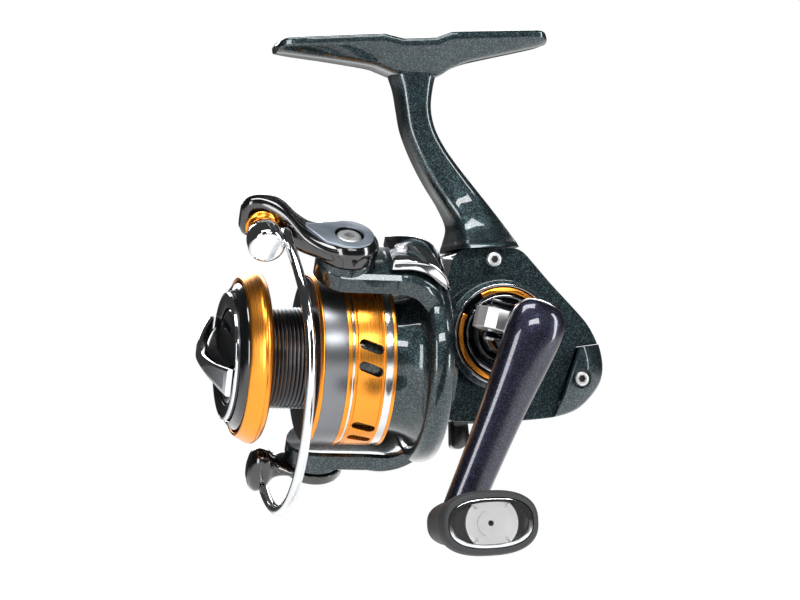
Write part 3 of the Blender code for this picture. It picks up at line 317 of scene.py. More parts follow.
def layers(outline: Array, rings: list[tuple[float, float]], axes: Axes,
           level: float | None = None) -> Solid:
    """A solid through copies of one outline.

    Args:
        outline: Counterclockwise points of the frame's XY plane.
        rings: For each copy, how far it is moved inwards and its height.
        axes: The frame.
        level: The Y of an edge that stays where it is, while the inset eases in below it.

    Returns:
        The solid.
    """
    ease = 2.5
    made = []
    for by, height in rings:
        flat = inset(outline, by)
        if level is not None:
            flat[:, 1] += by * np.clip((outline[:, 1] - level) / ease + 1, 0, 1)
        made.append(np.concatenate([flat, np.full((len(flat), 1), height)], axis=1))
    return skin(axes.place(np.stack(made)))


def tube(path: Array, radius: float, up: Array, sides: int = 32) -> Solid:
    """A round wire along a path.

    At each point the ring is p + r (cos t u + sin t w), where w is the tangent crossed with the given
    direction and u completes the pair, so the ring never twists.

    Args:
        path: Centre points in the row frame.
        radius: The wire's radius.
        up: A direction that the path never runs along.
        sides: Points of each ring.

    Returns:
        The wire with flat ends.
    """
    tangent = np.gradient(path, axis=0)
    tangent /= np.linalg.norm(tangent, axis=1, keepdims=True)
    w = np.cross(tangent, up)
    w /= np.linalg.norm(w, axis=1, keepdims=True)
    u = np.cross(w, tangent)
    angle = (TURN * np.arange(sides) / sides)[None, :, None]
    return skin(path[:, None] + radius * (np.cos(angle) * u[:, None] + np.sin(angle) * w[:, None]))


def ovals(stations: Array | list[tuple[float, ...]], first: int = 0, second: int = 1) -> Array:
    """Sections whose half axes lie along two of the frame's own axes.

    Args:
        stations: Rows of centre x, y, z and the two half axes.
        first: Which of the frame's axes the first half axis lies along.
        second: The same for the second.

    Returns:
        Rows for lofted.
    """
    table = np.asarray(stations, float)
    rows = np.zeros((len(table), 9))
    rows[:, :3], rows[:, 3 + first], rows[:, 6 + second] = table[:, :3], table[:, 3], table[:, 4]
    return rows


def lofted(sections: Array, axes: Axes, power: float = 2.0, count: int = 48, rows: int = 60) -> Solid:
    """A smooth solid through ovals.

    The sections are resampled along a smooth curve, and each gives c + C a + S b, where c is its
    centre, a and b its half axes, and C and S a superellipse's coordinates.

    Args:
        sections: Rows of c, a and b, of nine numbers.
        axes: The frame.
        power: The superellipse's exponent.
        count: Points of each ring.
        rows: How many rings.

    Returns:
        The solid.
    """
    line = flowing(sections, rows)[:, None]
    ring = super_oval(1.0, 1.0, power, count)[None]
    grid = line[..., 0:3] + ring[..., 0:1] * line[..., 3:6] + ring[..., 1:2] * line[..., 6:9]
    return skin(axes.place(grid))


def mesh_of(name: str, solid: Solid) -> bpy.types.Mesh:
    """A Blender mesh of a solid, with its doubles merged and its faces turned outwards.

    Args:
        name: The mesh's name.
        solid: The closed surface, in mm.

    Returns:
        The mesh, in metres.
    """
    mesh = bpy.data.meshes.new(name)
    mesh.from_pydata((solid.points * MM).tolist(), [], solid.faces)
    shape = bmesh.new()
    shape.from_mesh(mesh)
    bmesh.ops.remove_doubles(shape, verts=shape.verts, dist=1e-7)
    bmesh.ops.recalc_face_normals(shape, faces=shape.faces)
    shape.to_mesh(mesh)
    shape.free()
    return mesh


class Cut(Enum):
    """What a tool does to a solid."""

    AWAY = "DIFFERENCE"
    KEEP = "INTERSECT"


def carved(solid: Solid, tools: list[Solid], way: Cut = Cut.AWAY) -> Solid:
    """A solid after exact Booleans with some tools.

    Args:
        solid: The closed surface.
        tools: The tools, each a closed surface, used in order.
        way: Whether they cut away what they cover, or keep it.

    Returns:
        The new surface.
    """
    obj = bpy.data.objects.new("blank", mesh_of("blank", solid))
    bpy.context.scene.collection.objects.link(obj)
    helpers = []
    for tool in tools:
        helper = bpy.data.objects.new("tool", mesh_of("tool", tool))
        bpy.context.scene.collection.objects.link(helper)
        step = obj.modifiers.new("cut", "BOOLEAN")
        step.operation, step.solver, step.object = way.value, "EXACT", helper
        helpers.append(helper)
    bpy.context.view_layer.update()
    done = bpy.data.meshes.new_from_object(obj.evaluated_get(bpy.context.evaluated_depsgraph_get()))
    points = np.empty(len(done.vertices) * 3, np.float32)
    done.vertices.foreach_get("co", points)
    faces = [list(face.vertices) for face in done.polygons]
    for helper in [obj, *helpers]:
        bpy.data.objects.remove(helper, do_unlink=True)
    return Solid(points.reshape(-1, 3).astype(float) / MM, faces)


# ---------------------------------------------------------------- finishes


def linear(code: str) -> tuple[float, float, float, float]:
    """An sRGB colour as linear light: ((c + 0.055) / 1.055)^2.4, or c / 12.92 below 0.04.

    Args:
        code: The colour as #RRGGBB.

    Returns:
        Red, green, blue and an alpha of 1.
    """
    parts = [int(code[i:i + 2], 16) / 255 for i in (1, 3, 5)]
    light = [c / 12.92 if c <= 0.04045 else ((c + 0.055) / 1.055) ** 2.4 for c in parts]
    return (light[0], light[1], light[2], 1.0)


def add_node(tree: bpy.types.NodeTree, kind: str, settings: dict[str, Any] | None = None,
             inputs: dict[str, Any] | None = None) -> bpy.types.Node:
    """Adds a shader node.

    Args:
        tree: The material's node tree.
        kind: The node's type name.
        settings: Properties to set on it.
        inputs: Values, or sockets to link, by input name.

    Returns:
        The node.
    """
    made = tree.nodes.new(kind)
    for key, value in (settings or {}).items():
        setattr(made, key, value)
    for key, value in (inputs or {}).items():
        if isinstance(value, bpy.types.NodeSocket):
            tree.links.new(value, made.inputs[key])
        else:
            made.inputs[key].default_value = value
    return made


def object_space(tree: bpy.types.NodeTree) -> bpy.types.NodeSocket:
    """The point's place in the object's own space, in metres."""
    return add_node(tree, "ShaderNodeTexCoord").outputs["Object"]


def vary_gloss(tree: bpy.types.NodeTree, value: bpy.types.NodeSocket, low: float, high: float) -> None:
    """Carries the shader's roughness between two numbers.

    Args:
        tree: The material's node tree.
        value: A socket that runs from 0 to 1.
        low: The roughness at 0.
        high: The roughness at 1.
    """
    span = add_node(tree, "ShaderNodeMapRange", {}, {"Value": value, "To Min": low, "To Max": high})
    tree.links.new(span.outputs["Result"], tree.nodes["Principled BSDF"].inputs["Roughness"])


def vary_shade(tree: bpy.types.NodeTree, value: bpy.types.NodeSocket, first: tuple[float, ...],
               second: tuple[float, ...]) -> None:
    """Mixes the shader's base colour from two.

    Args:
        tree: The material's node tree.
        value: A socket that runs from 0, which gives the first, to 1.
        first: A linear colour.
        second: The other.
    """
    tint = add_node(tree, "ShaderNodeMix", {"data_type": "RGBA"}, {"Factor": value})
    tint.inputs[6].default_value, tint.inputs[7].default_value = first, second
    tree.links.new(tint.outputs[2], tree.nodes["Principled BSDF"].inputs["Base Color"])


def add_relief(tree: bpy.types.NodeTree, height: bpy.types.NodeSocket, strength: float,
               depth_mm: float) -> None:
    """Adds a bump to the shader.

    Args:
        tree: The material's node tree.
        height: A socket that gives the height.
        strength: How much of the bump counts, from 0 to 1.
        depth_mm: What a height of 1 stands for.
    """
    bump = add_node(tree, "ShaderNodeBump", {}, {
        "Strength": strength, "Distance": depth_mm * MM, "Height": height})
    tree.links.new(bump.outputs["Normal"], tree.nodes["Principled BSDF"].inputs["Normal"])


@dataclass(frozen=True)
class Finish:
    """What every finish shares: a name, a colour and a Principled shader's own numbers."""

    name: str
    colour: str
    roughness: float
    metallic: float = 0.0
    coat: float = 0.0
    slot: str = "gloss_black"

    def constants(self, tree: bpy.types.NodeTree) -> None:
        """Sets the constant values of the tree's Principled shader.

        Args:
            tree: The material's node tree.
        """
        inputs = tree.nodes["Principled BSDF"].inputs
        values = {"Base Color": linear(self.colour), "Roughness": self.roughness, "Metallic": self.metallic,
                  "Coat Weight": self.coat, "Coat Roughness": 0.03}
        for key, value in values.items():
            inputs[key].default_value = value

    def detail(self, tree: bpy.types.NodeTree) -> None:
        """Adds the pattern. Smooth finishes have a faint unevenness of their gloss, 3 mm across.

        Args:
            tree: The material's node tree.
        """
        cloud = add_node(tree, "ShaderNodeTexNoise", {}, {
            "Vector": object_space(tree), "Scale": 330.0, "Detail": 3.0})
        vary_gloss(tree, cloud.outputs["Fac"], self.roughness * 0.85, self.roughness * 1.2)

    def material(self) -> bpy.types.Material:
        """The Blender material, made once.

        Returns:
            The material.
        """
        found = bpy.data.materials.get(self.name)
        if found:
            return found
        made = bpy.data.materials.new(self.name)
        made.use_nodes = True
        self.constants(made.node_tree)
        self.detail(made.node_tree)
        return made


@dataclass(frozen=True)
class PearlLacquer(Finish):
    """Mica pearl under clear lacquer, sprayed on a die casting: dark, with sparks in the light.

    The real flakes are 0.05 mm across and too fine to show, so they are drawn 0.16 mm wide.
    """

    spark: str = "#5E7A80"
    flake_mm: float = 0.16

    def detail(self, tree: bpy.types.NodeTree) -> None:
        """Flakes: a random shade for each cell, and a random small tilt of the pearl layer.

        Args:
            tree: The material's node tree.
        """
        cells = add_node(tree, "ShaderNodeTexVoronoi", {}, {
            "Vector": object_space(tree), "Scale": 1000 / self.flake_mm})
        shade = add_node(tree, "ShaderNodeSeparateColor", {}, {"Color": cells.outputs["Color"]})
        ramp = add_node(tree, "ShaderNodeMapRange", {"interpolation_type": "SMOOTHSTEP"}, {
            "Value": shade.outputs["Red"], "From Min": 0.55, "From Max": 1.0, "To Max": 0.5})
        vary_shade(tree, ramp.outputs["Result"], linear(self.colour), linear(self.spark))
        add_relief(tree, shade.outputs["Green"], 0.25, 0.03)


@dataclass(frozen=True)
class TurnedMetal(Finish):
    """Metal turned on a lathe: fine rings across the axis that stretch a highlight along it.

    The tool marks are 0.02 mm apart and too fine to show, so they are drawn 0.16 mm apart.
    """

    axis: tuple[float, float, float] = (0.0, 0.0, 1.0)
    pitch_mm: float = 0.16
    depth: float = 0.12

    def detail(self, tree: bpy.types.NodeTree) -> None:
        """Rings: one-dimensional noise of the distance along the axis drives a bump and the gloss.

        Args:
            tree: The material's node tree.
        """
        along = add_node(tree, "ShaderNodeVectorMath", {"operation": "DOT_PRODUCT"})
        tree.links.new(object_space(tree), along.inputs[0])
        along.inputs[1].default_value = self.axis
        rings = add_node(tree, "ShaderNodeTexNoise", {"noise_dimensions": "1D"}, {
            "W": along.outputs["Value"], "Scale": 1000 / self.pitch_mm, "Detail": 2.0})
        add_relief(tree, rings.outputs["Fac"], self.depth, 0.02)
        vary_gloss(tree, rings.outputs["Fac"], self.roughness * 0.8, self.roughness * 1.25)


@dataclass(frozen=True)
class Grained(Finish):
    """A moulded or woven surface with a fine random relief, such as rubber or felt."""

    grain_mm: float = 0.25
    height_mm: float = 0.03

    def detail(self, tree: bpy.types.NodeTree) -> None:
        """Relief: three-dimensional noise at the grain's size, as a bump and a small change of shade.

        Args:
            tree: The material's node tree.
        """
        grain = add_node(tree, "ShaderNodeTexNoise", {}, {
            "Vector": object_space(tree), "Scale": 1000 / self.grain_mm, "Detail": 4.0, "Roughness": 0.6})
        add_relief(tree, grain.outputs["Fac"], 0.5, self.height_mm)
        dark, light = (tuple(min(1.0, c * k) for c in linear(self.colour)[:3]) + (1.0,) for k in (0.7, 1.35))
        vary_shade(tree, grain.outputs["Fac"], dark, light)


# ---------------------------------------------------------------- pieces


@dataclass
class Shop:
    """The frames of the reel, read from its joints, and the way that a piece is put into the scene."""

    shaft: Axes
    rotor: Axes
    crank: Axes
    side: Axes
    knob: Axes
    nut: Axes
    made: int = 0

    @classmethod
    def from_joints(cls, joints: list[dict[str, Any]]) -> "Shop":
        """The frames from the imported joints.

        Args:
            joints: The joints, each with a name, an axis and mostly a place in metres.

        Returns:
            The shop.
        """
        found = {joint["name"]: joint for joint in joints}
        spot = {name: np.array(j.get("pos_m") or (0, 0, 0)) / MM for name, j in found.items()}
        axis = {name: np.array(j["axis"]) / np.linalg.norm(j["axis"]) for name, j in found.items()}
        ahead = axis["rotor_turn"]
        side_rows = np.array([[1.0, 0.0, 0.0], [0.0, 0.0, 1.0], [0.0, -1.0, 0.0]])
        rise = np.cross(np.array([0.0, 1.0, 0.0]), ahead)
        arm = -axis["bail_swing"]
        nut_out = axis["lock_nut_turn"]
        return cls(
            shaft=Axes(spot["rotor_turn"], np.array([rise, np.cross(ahead, rise), ahead])),
            rotor=Axes(spot["rotor_turn"], np.array([arm, np.cross(ahead, arm), ahead])),
            crank=Axes(spot["crank_turn"], side_rows),
            side=Axes(np.zeros(3), side_rows),
            knob=Axes(spot["knob_turn"], side_rows),
            nut=Axes(spot["lock_nut_turn"],
                     np.array([np.cross(side_rows[2], nut_out), side_rows[2], nut_out])),
        )

    def put(self, name: str, parts: list[tuple[Solid, Finish]], body: str, stands_for: tuple[str, ...],
            sharp: float = 30.0) -> None:
        """Makes one piece of the scene.

        Args:
            name: The piece's name.
            parts: Its solids, each with its finish.
            body: The moving body that it rides on.
            stands_for: The frame nodes that it replaces.
            sharp: Faces that meet at more than this angle, in degrees, keep a crisp edge.
        """
        whole = bmesh.new()
        finishes = list(dict.fromkeys(finish for _, finish in parts))
        for solid, finish in parts:
            mesh = mesh_of(name, solid)
            start = len(whole.faces)
            whole.from_mesh(mesh)
            whole.faces.ensure_lookup_table()
            for face in whole.faces[start:]:
                face.material_index = finishes.index(finish)
            bpy.data.meshes.remove(mesh)
        mesh = bpy.data.meshes.new(name)
        whole.to_mesh(mesh)
        whole.free()
        mesh.shade_smooth()
        mesh.set_sharp_from_angle(angle=math.radians(sharp))
        for finish in finishes:
            mesh.materials.append(finish.material())
        obj = bpy.data.objects.new(name, mesh)
        bpy.context.scene.collection.objects.link(obj)
        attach(obj, body)
        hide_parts(*stands_for)
        self.made += 1
        LOG.info("%s: %d faces on %s", name, len(mesh.polygons), body)


@dataclass(frozen=True)
class Finishes:
    """The reel's own finishes, and a near-black one that paints the shade on recess floors."""

    shaft_axis: tuple[float, float, float]
    pearl: Finish = PearlLacquer("green_black_pearl_lacquer", "#172023", 0.34, 0.85, 1.0,
                                 "green_black_pearl")
    violet: Finish = PearlLacquer("violet_black_pearl_lacquer", "#161723", 0.34, 0.85, 1.0,
                                  "violet_black_pearl", "#4C4F6C")
    chrome: Finish = Finish("chrome_plating", "#D6D8DA", 0.07, 1.0, 0.0, "polished_chrome")
    steel: Finish = Finish("stainless_steel", "#B4B6B8", 0.22, 1.0, 0.0, "stainless_steel")
    satin: Finish = Finish("satin_nickel", "#8E9196", 0.30, 1.0, 0.0, "stainless_steel")
    smoke: Finish = Finish("black_chrome_plating", "#2E3034", 0.12, 1.0, 0.0, "polished_chrome")
    facet: Finish = Finish("satin_black_nickel", "#A4AEBA", 0.38, 1.0, 0.0, "polished_chrome")
    brass: Finish = Finish("cut_brass", "#C79A4B", 0.30, 1.0, 0.0, "brass")
    black: Finish = Finish("gloss_black_polycarbonate", "#060709", 0.16, 0.0, 1.0, "gloss_black")
    # Painted shade: near-black floors laid in the screw sockets and the knob plate's recess, for the shade
    # that falls there.
    recess_shade: Finish = Finish("painted_recess_shade", "#0A0A0B", 0.45, 0.0, 0.0, "gloss_black")
    rubber: Finish = Grained("moulded_rubber", "#232426", 0.62, 0.0, 0.0, "dark_rubber")
    felt: Finish = Grained("oiled_felt", "#4A463F", 0.95, 0.0, 0.0, "felt", 0.4, 0.15)

    def turned(self, name: str, colour: str, roughness: float) -> Finish:
        """Turned and anodised aluminium, ringed across the shaft."""
        return TurnedMetal(name, colour, roughness, 1.0, 0.0, "gold_anodised", self.shaft_axis)

    @property
    def gold(self) -> Finish:
        """The gold of the spool and the line roller."""
        return self.turned("gold_anodised_aluminium", GOLD, 0.27)

    @property
    def dark(self) -> Finish:
        """The dark grey of the drum and the dial ring."""
        return self.turned("dark_anodised_aluminium", "#4A4C50", 0.30)


@dataclass
class Body:
    """The foot, stem and gear case, with their covers, screws and lever."""

    shop: Shop
    kit: Finishes
    foot_length: float = 56.0
    foot_width: float = 14.0
    saddle: float = 1.1
    half_width: float = HALF_WIDTH
    seam: float = 7.0
    top: float = -43.2
    bottom: float = -78.2
    tail: float = 34.9
    front: float = -2.2
    gap: float = GAP
    nose_radius: float = 11.0
    screws: tuple[tuple[float, float], ...] = ((12.4, -45.6), (14.5, -75.2), (29.6, -70.4))

    def to_side(self, forward: float, rise: float) -> tuple[float, float]:
        """A point of the shaft frame in the side view."""
        spot = self.shop.shaft.place(np.array([rise, 0.0, forward]))
        return float(spot[0]), float(spot[2])

    def case_outline(self) -> Array:
        """The gear case's outline from the side, its corners rounded over 2.2 mm.

        Returns:
            Counterclockwise points of the side view.
        """
        tail = self.tail
        corners = [
            self.to_side(self.front, self.bottom + 66.0), (9.0, self.bottom), (18.2, self.bottom),
            (24.5, self.bottom + 0.3), (29.0, self.bottom + 1.5), (tail - 2.8, self.bottom + 4.2),
            (tail - 0.7, -71.2), (tail, -68.0), (tail - 0.6, -63.6), (tail - 2.5, -59.4), (29.4, -55.8),
            (25.0, -50.8), (19.0, self.top), (5.4, self.top), self.to_side(self.front, 15.4),
            self.to_side(self.front, 5.0), self.to_side(self.front, -5.0),
        ]
        return rounded(corners, 2.2, 5)

    def foot(self) -> Solid:
        """The foot: a rounded trapezium carried along X.

        The top is level but for the saddle, with straight ramps. The underside and the width follow
        smooth curves through a few stations.

        Returns:
            The solid.
        """
        half, top = self.foot_length / 2, self.saddle
        low = np.array([(-half, -1.7), (-half + 4, -2.4), (-17.3, -3.5), (-8.9, -5.1), (-6.7, -5.9),
                        (-2.7, -7.4), (3.9, -7.8), (7.4, -6.2), (11.0, -4.9), (15.1, -4.1),
                        (half - 2.6, -2.3), (half, -1.6)])
        wide = np.array([(-half, 0.45), (-half + 1.2, 0.62), (-half + 4, 0.75), (-17.3, 0.86), (-8.9, 0.98),
                         (-2.7, 1.0), (7.4, 1.0), (15.1, 0.90), (half - 2.6, 0.74), (half - 0.6, 0.6),
                         (half, 0.45)])
        ends = [-half + 0.2, half - 0.2, -6.7, -2.7, 3.9, 7.4]
        x = np.sort(np.concatenate([np.linspace(-half, half, 110), ends]))
        crown = np.array([(-half, top - 1.3), (-half + 0.7, top - 0.35), (-half + 1.8, top), (-6.7, top),
                          (-2.7, 0), (3.9, 0), (7.4, top), (half - 1.6, top), (half - 0.6, top - 0.3),
                          (half, top - 1.2)])
        high = np.interp(x, *crown.T)
        under = np.interp(x, *flowing(low, 200).T)
        reach = np.interp(x, *flowing(wide, 200).T) * self.foot_width / 2
        edge = np.minimum(1.7, (high - under) * 0.6)
        right = np.stack([
            np.stack([-0.62 * reach, under], -1), np.stack([-reach, high - edge], -1),
            np.stack([-reach, high - 0.35], -1), np.stack([0.35 - reach, high], -1)], axis=1)
        ring = np.concatenate([right, right[:, ::-1] * np.array([-1.0, 1.0])], axis=1)
        soft = [1.2, 0.5, 0.3, 0.3, 0.3, 0.3, 0.5, 1.2]
        rows = [np.concatenate([np.full((40, 1), at), rounded(line, soft)], 1) for at, line in zip(x, ring)]
        return skin(np.stack(rows))

    def stem(self) -> Solid:
        """The stem: level superellipses that flow from the foot to the case.

        A station is a height, the front and rear edges there, and half the width.

        Returns:
            The solid.
        """
        stations = np.array([
            (-2.0, -5.6, 6.6, 5.2), (-4.6, -5.0, 5.6, 4.9), (-7.0, -4.6, 4.7, 4.6), (-10.0, -3.8, 3.8, 4.4),
            (-14.0, -3.3, 3.2, 4.3), (-18.0, -2.8, 3.8, 4.2), (-22.0, -1.6, 5.6, 4.2),
            (-26.0, 0.0, 8.2, 4.3), (-30.0, 2.0, 11.1, 4.5), (-34.0, 4.3, 14.0, 5.0),
            (-38.0, 6.0, 16.6, 6.6), (-41.0, 5.6, 18.2, 9.2),
            (self.top + 1.0, 5.3, 18.8, 10.6), (self.top + 0.12, 5.2, 19.1, 11.3)])
        line = flowing(stations, 90)
        ring = super_oval(1.0, 1.0, 3.6, 72)
        z, front, rear, half = (line[:, None, k] for k in range(4))
        x = (front + rear) / 2 + (rear - front) / 2 * ring[None, :, 0]
        return skin(np.stack([x, half * ring[None, :, 1], z + 0 * x], axis=-1))

    def tail_tool(self, shift: float = 0.0) -> Solid:
        """The region behind the rear cover's slanting joint, moved back by a shift.

        Args:
            shift: How far it is moved, in mm.

        Returns:
            The tool.
        """
        tall = self.half_width + 3
        corners = np.array([(19.0 + shift, -90.0), (60.0, -90.0), (60.0, -61.4 - shift),
                            (29.6, -63.8 - shift)])
        return slab(corners, -tall, tall, self.shop.side, CRISP)

    def build(self) -> None:
        """Builds and dresses the whole body."""
        side, crank, shaft, pearl = self.shop.side, self.shop.crank, self.shop.shaft, self.kit.pearl
        outline = self.case_outline()
        deep = self.half_width
        far_rings = [(3.6, -deep), (3.2, -deep + 0.2), (0.9, -deep + 1.6), (0.35, -deep + 2.1),
                     (0.0, -deep + 3.2), (0.0, self.seam - 0.2), (0.15, self.seam)]
        near_rings = [(0.15, self.seam + self.gap), (0.0, self.seam + self.gap + 0.2), (0.0, deep - 4.2),
                      (0.25, deep - 3.7), (0.5, deep - 3.4), (2.7, deep - 1.5), (2.75, deep - 0.25),
                      (2.85, deep - 0.1), (3.1, deep)]
        rear_cap = [(0.0, deep - 4.2), (0.25, deep - 3.7), (0.6, deep - 3.3), (3.6, deep - 1.4),
                    (4.0, deep - 1.2)]
        room = slab(inset(outline, 2.0), 2.2 - deep, deep - 2.9, side, CRISP)
        far = carved(layers(outline, far_rings, side, self.top), [self.tail_tool()])
        nose = spun([(self.nose_radius, 5.6), (self.nose_radius, -4.0), (8.9, -4.0), (8.9, 5.6)], shaft, 0.3)
        boss = capped([(0, -7.0), (7.2, -7.0), (7.2, -deep - 0.8), (0, -deep - 0.8)], crank, 0.4)
        solids = (self.foot(), self.stem(), far, nose, boss)
        self.shop.put("housing_casting", [(solid, pearl) for solid in solids], "body", ("housing",))
        near = layers(outline, near_rings, side, self.top)
        recess = [capped([(0, deep - 2.6), (2.1, deep - 2.6), (2.1, deep + 2), (0, deep + 2)],
                         side.at((*spot, 0.0)), 0.05, 40) for spot in self.screws]
        wide = self.nose_radius + self.gap
        nose_room = capped([(0, -6.0), (wide, -6.0), (wide, 9.0), (0, 9.0)], shaft, 0.05)
        groove = spun([(12.4, deep + 2.0), (12.4, deep - 1.1), (10.4, deep - 1.1), (10.4, deep + 2.0)],
                      crank, 0.1)
        cover = carved(near, [self.tail_tool(), nose_room, groove, *recess[:2]])
        ring = spun([(11.2, deep + 0.4), (11.2, deep - 1.2), (6.0, deep - 1.2), (6.0, deep + 0.4)],
                    crank, 0.25)
        self.shop.put("side_cover_casting", [(cover, pearl), (ring, pearl)], "body", ("side_cover",))
        rear_rings = far_rings[:5] + rear_cap
        rear = carved(layers(outline, rear_rings, side), [self.tail_tool(0.12)], Cut.KEEP)
        rear = carved(rear, [room, *recess[2:]])
        self.shop.put("rear_cover_casting", [(rear, pearl)], "body", ("rear_cover",))
        names = ("cover_screw_upper", "cover_screw_lower", "cover_screw_rear")
        for name, spot in zip(names, self.screws):
            head = socket_screw(side.at((*spot, deep)), 1.5, -1.5 if spot[0] > 20 else -0.35, self.kit)
            self.shop.put(name + "_head", head, "body", (name,))
        pivot = side.at((5.6, self.bottom + 1.4, 0.0))
        lever = np.array([(-1.7, -6.2), (0.2, -6.6), (2.2, -5.2), (1.8, 1.6), (-1.4, 1.6)])
        blade = slab(rounded(lever, 0.8), -1.7, 1.7, pivot, 0.35)
        self.shop.put("lever_moulding", [(blade, self.kit.black)], "reverse_lever", ("reverse_lever",))


def socket_screw(axes: Axes, radius: float, high: float, kit: Finishes,
                 socket: float = 0.52) -> list[tuple[Solid, Finish]]:
    """A domed head with a hexagon socket, whose floor is a near-black slab of painted shade.

    Args:
        axes: The screw's frame, with Z outwards.
        radius: The head's radius.
        high: The rim's height in that frame.
        kit: The finishes.
        socket: The socket's corner radius, as a share of the head's.

    Returns:
        The head, and the socket's floor of painted shade.
    """
    head = capped([(0, high - 1.3), (radius, high - 1.3), (radius, high - 0.2), (radius * 0.8, high + 0.04),
                   (0, high + 0.06)], axes, 0.2, 48)
    hexagon = arc((0, 0), radius * socket, 0, 300, 6)
    head = carved(head, [slab(hexagon, high - 0.9, high + 1.0, axes, CRISP)])
    # The near-black slab at the socket's bottom is painted shade.
    return [(head, kit.steel), (slab(inset(hexagon, 0.01), high - 1.0, high - 0.6, axes, CRISP), kit.recess_shade)]


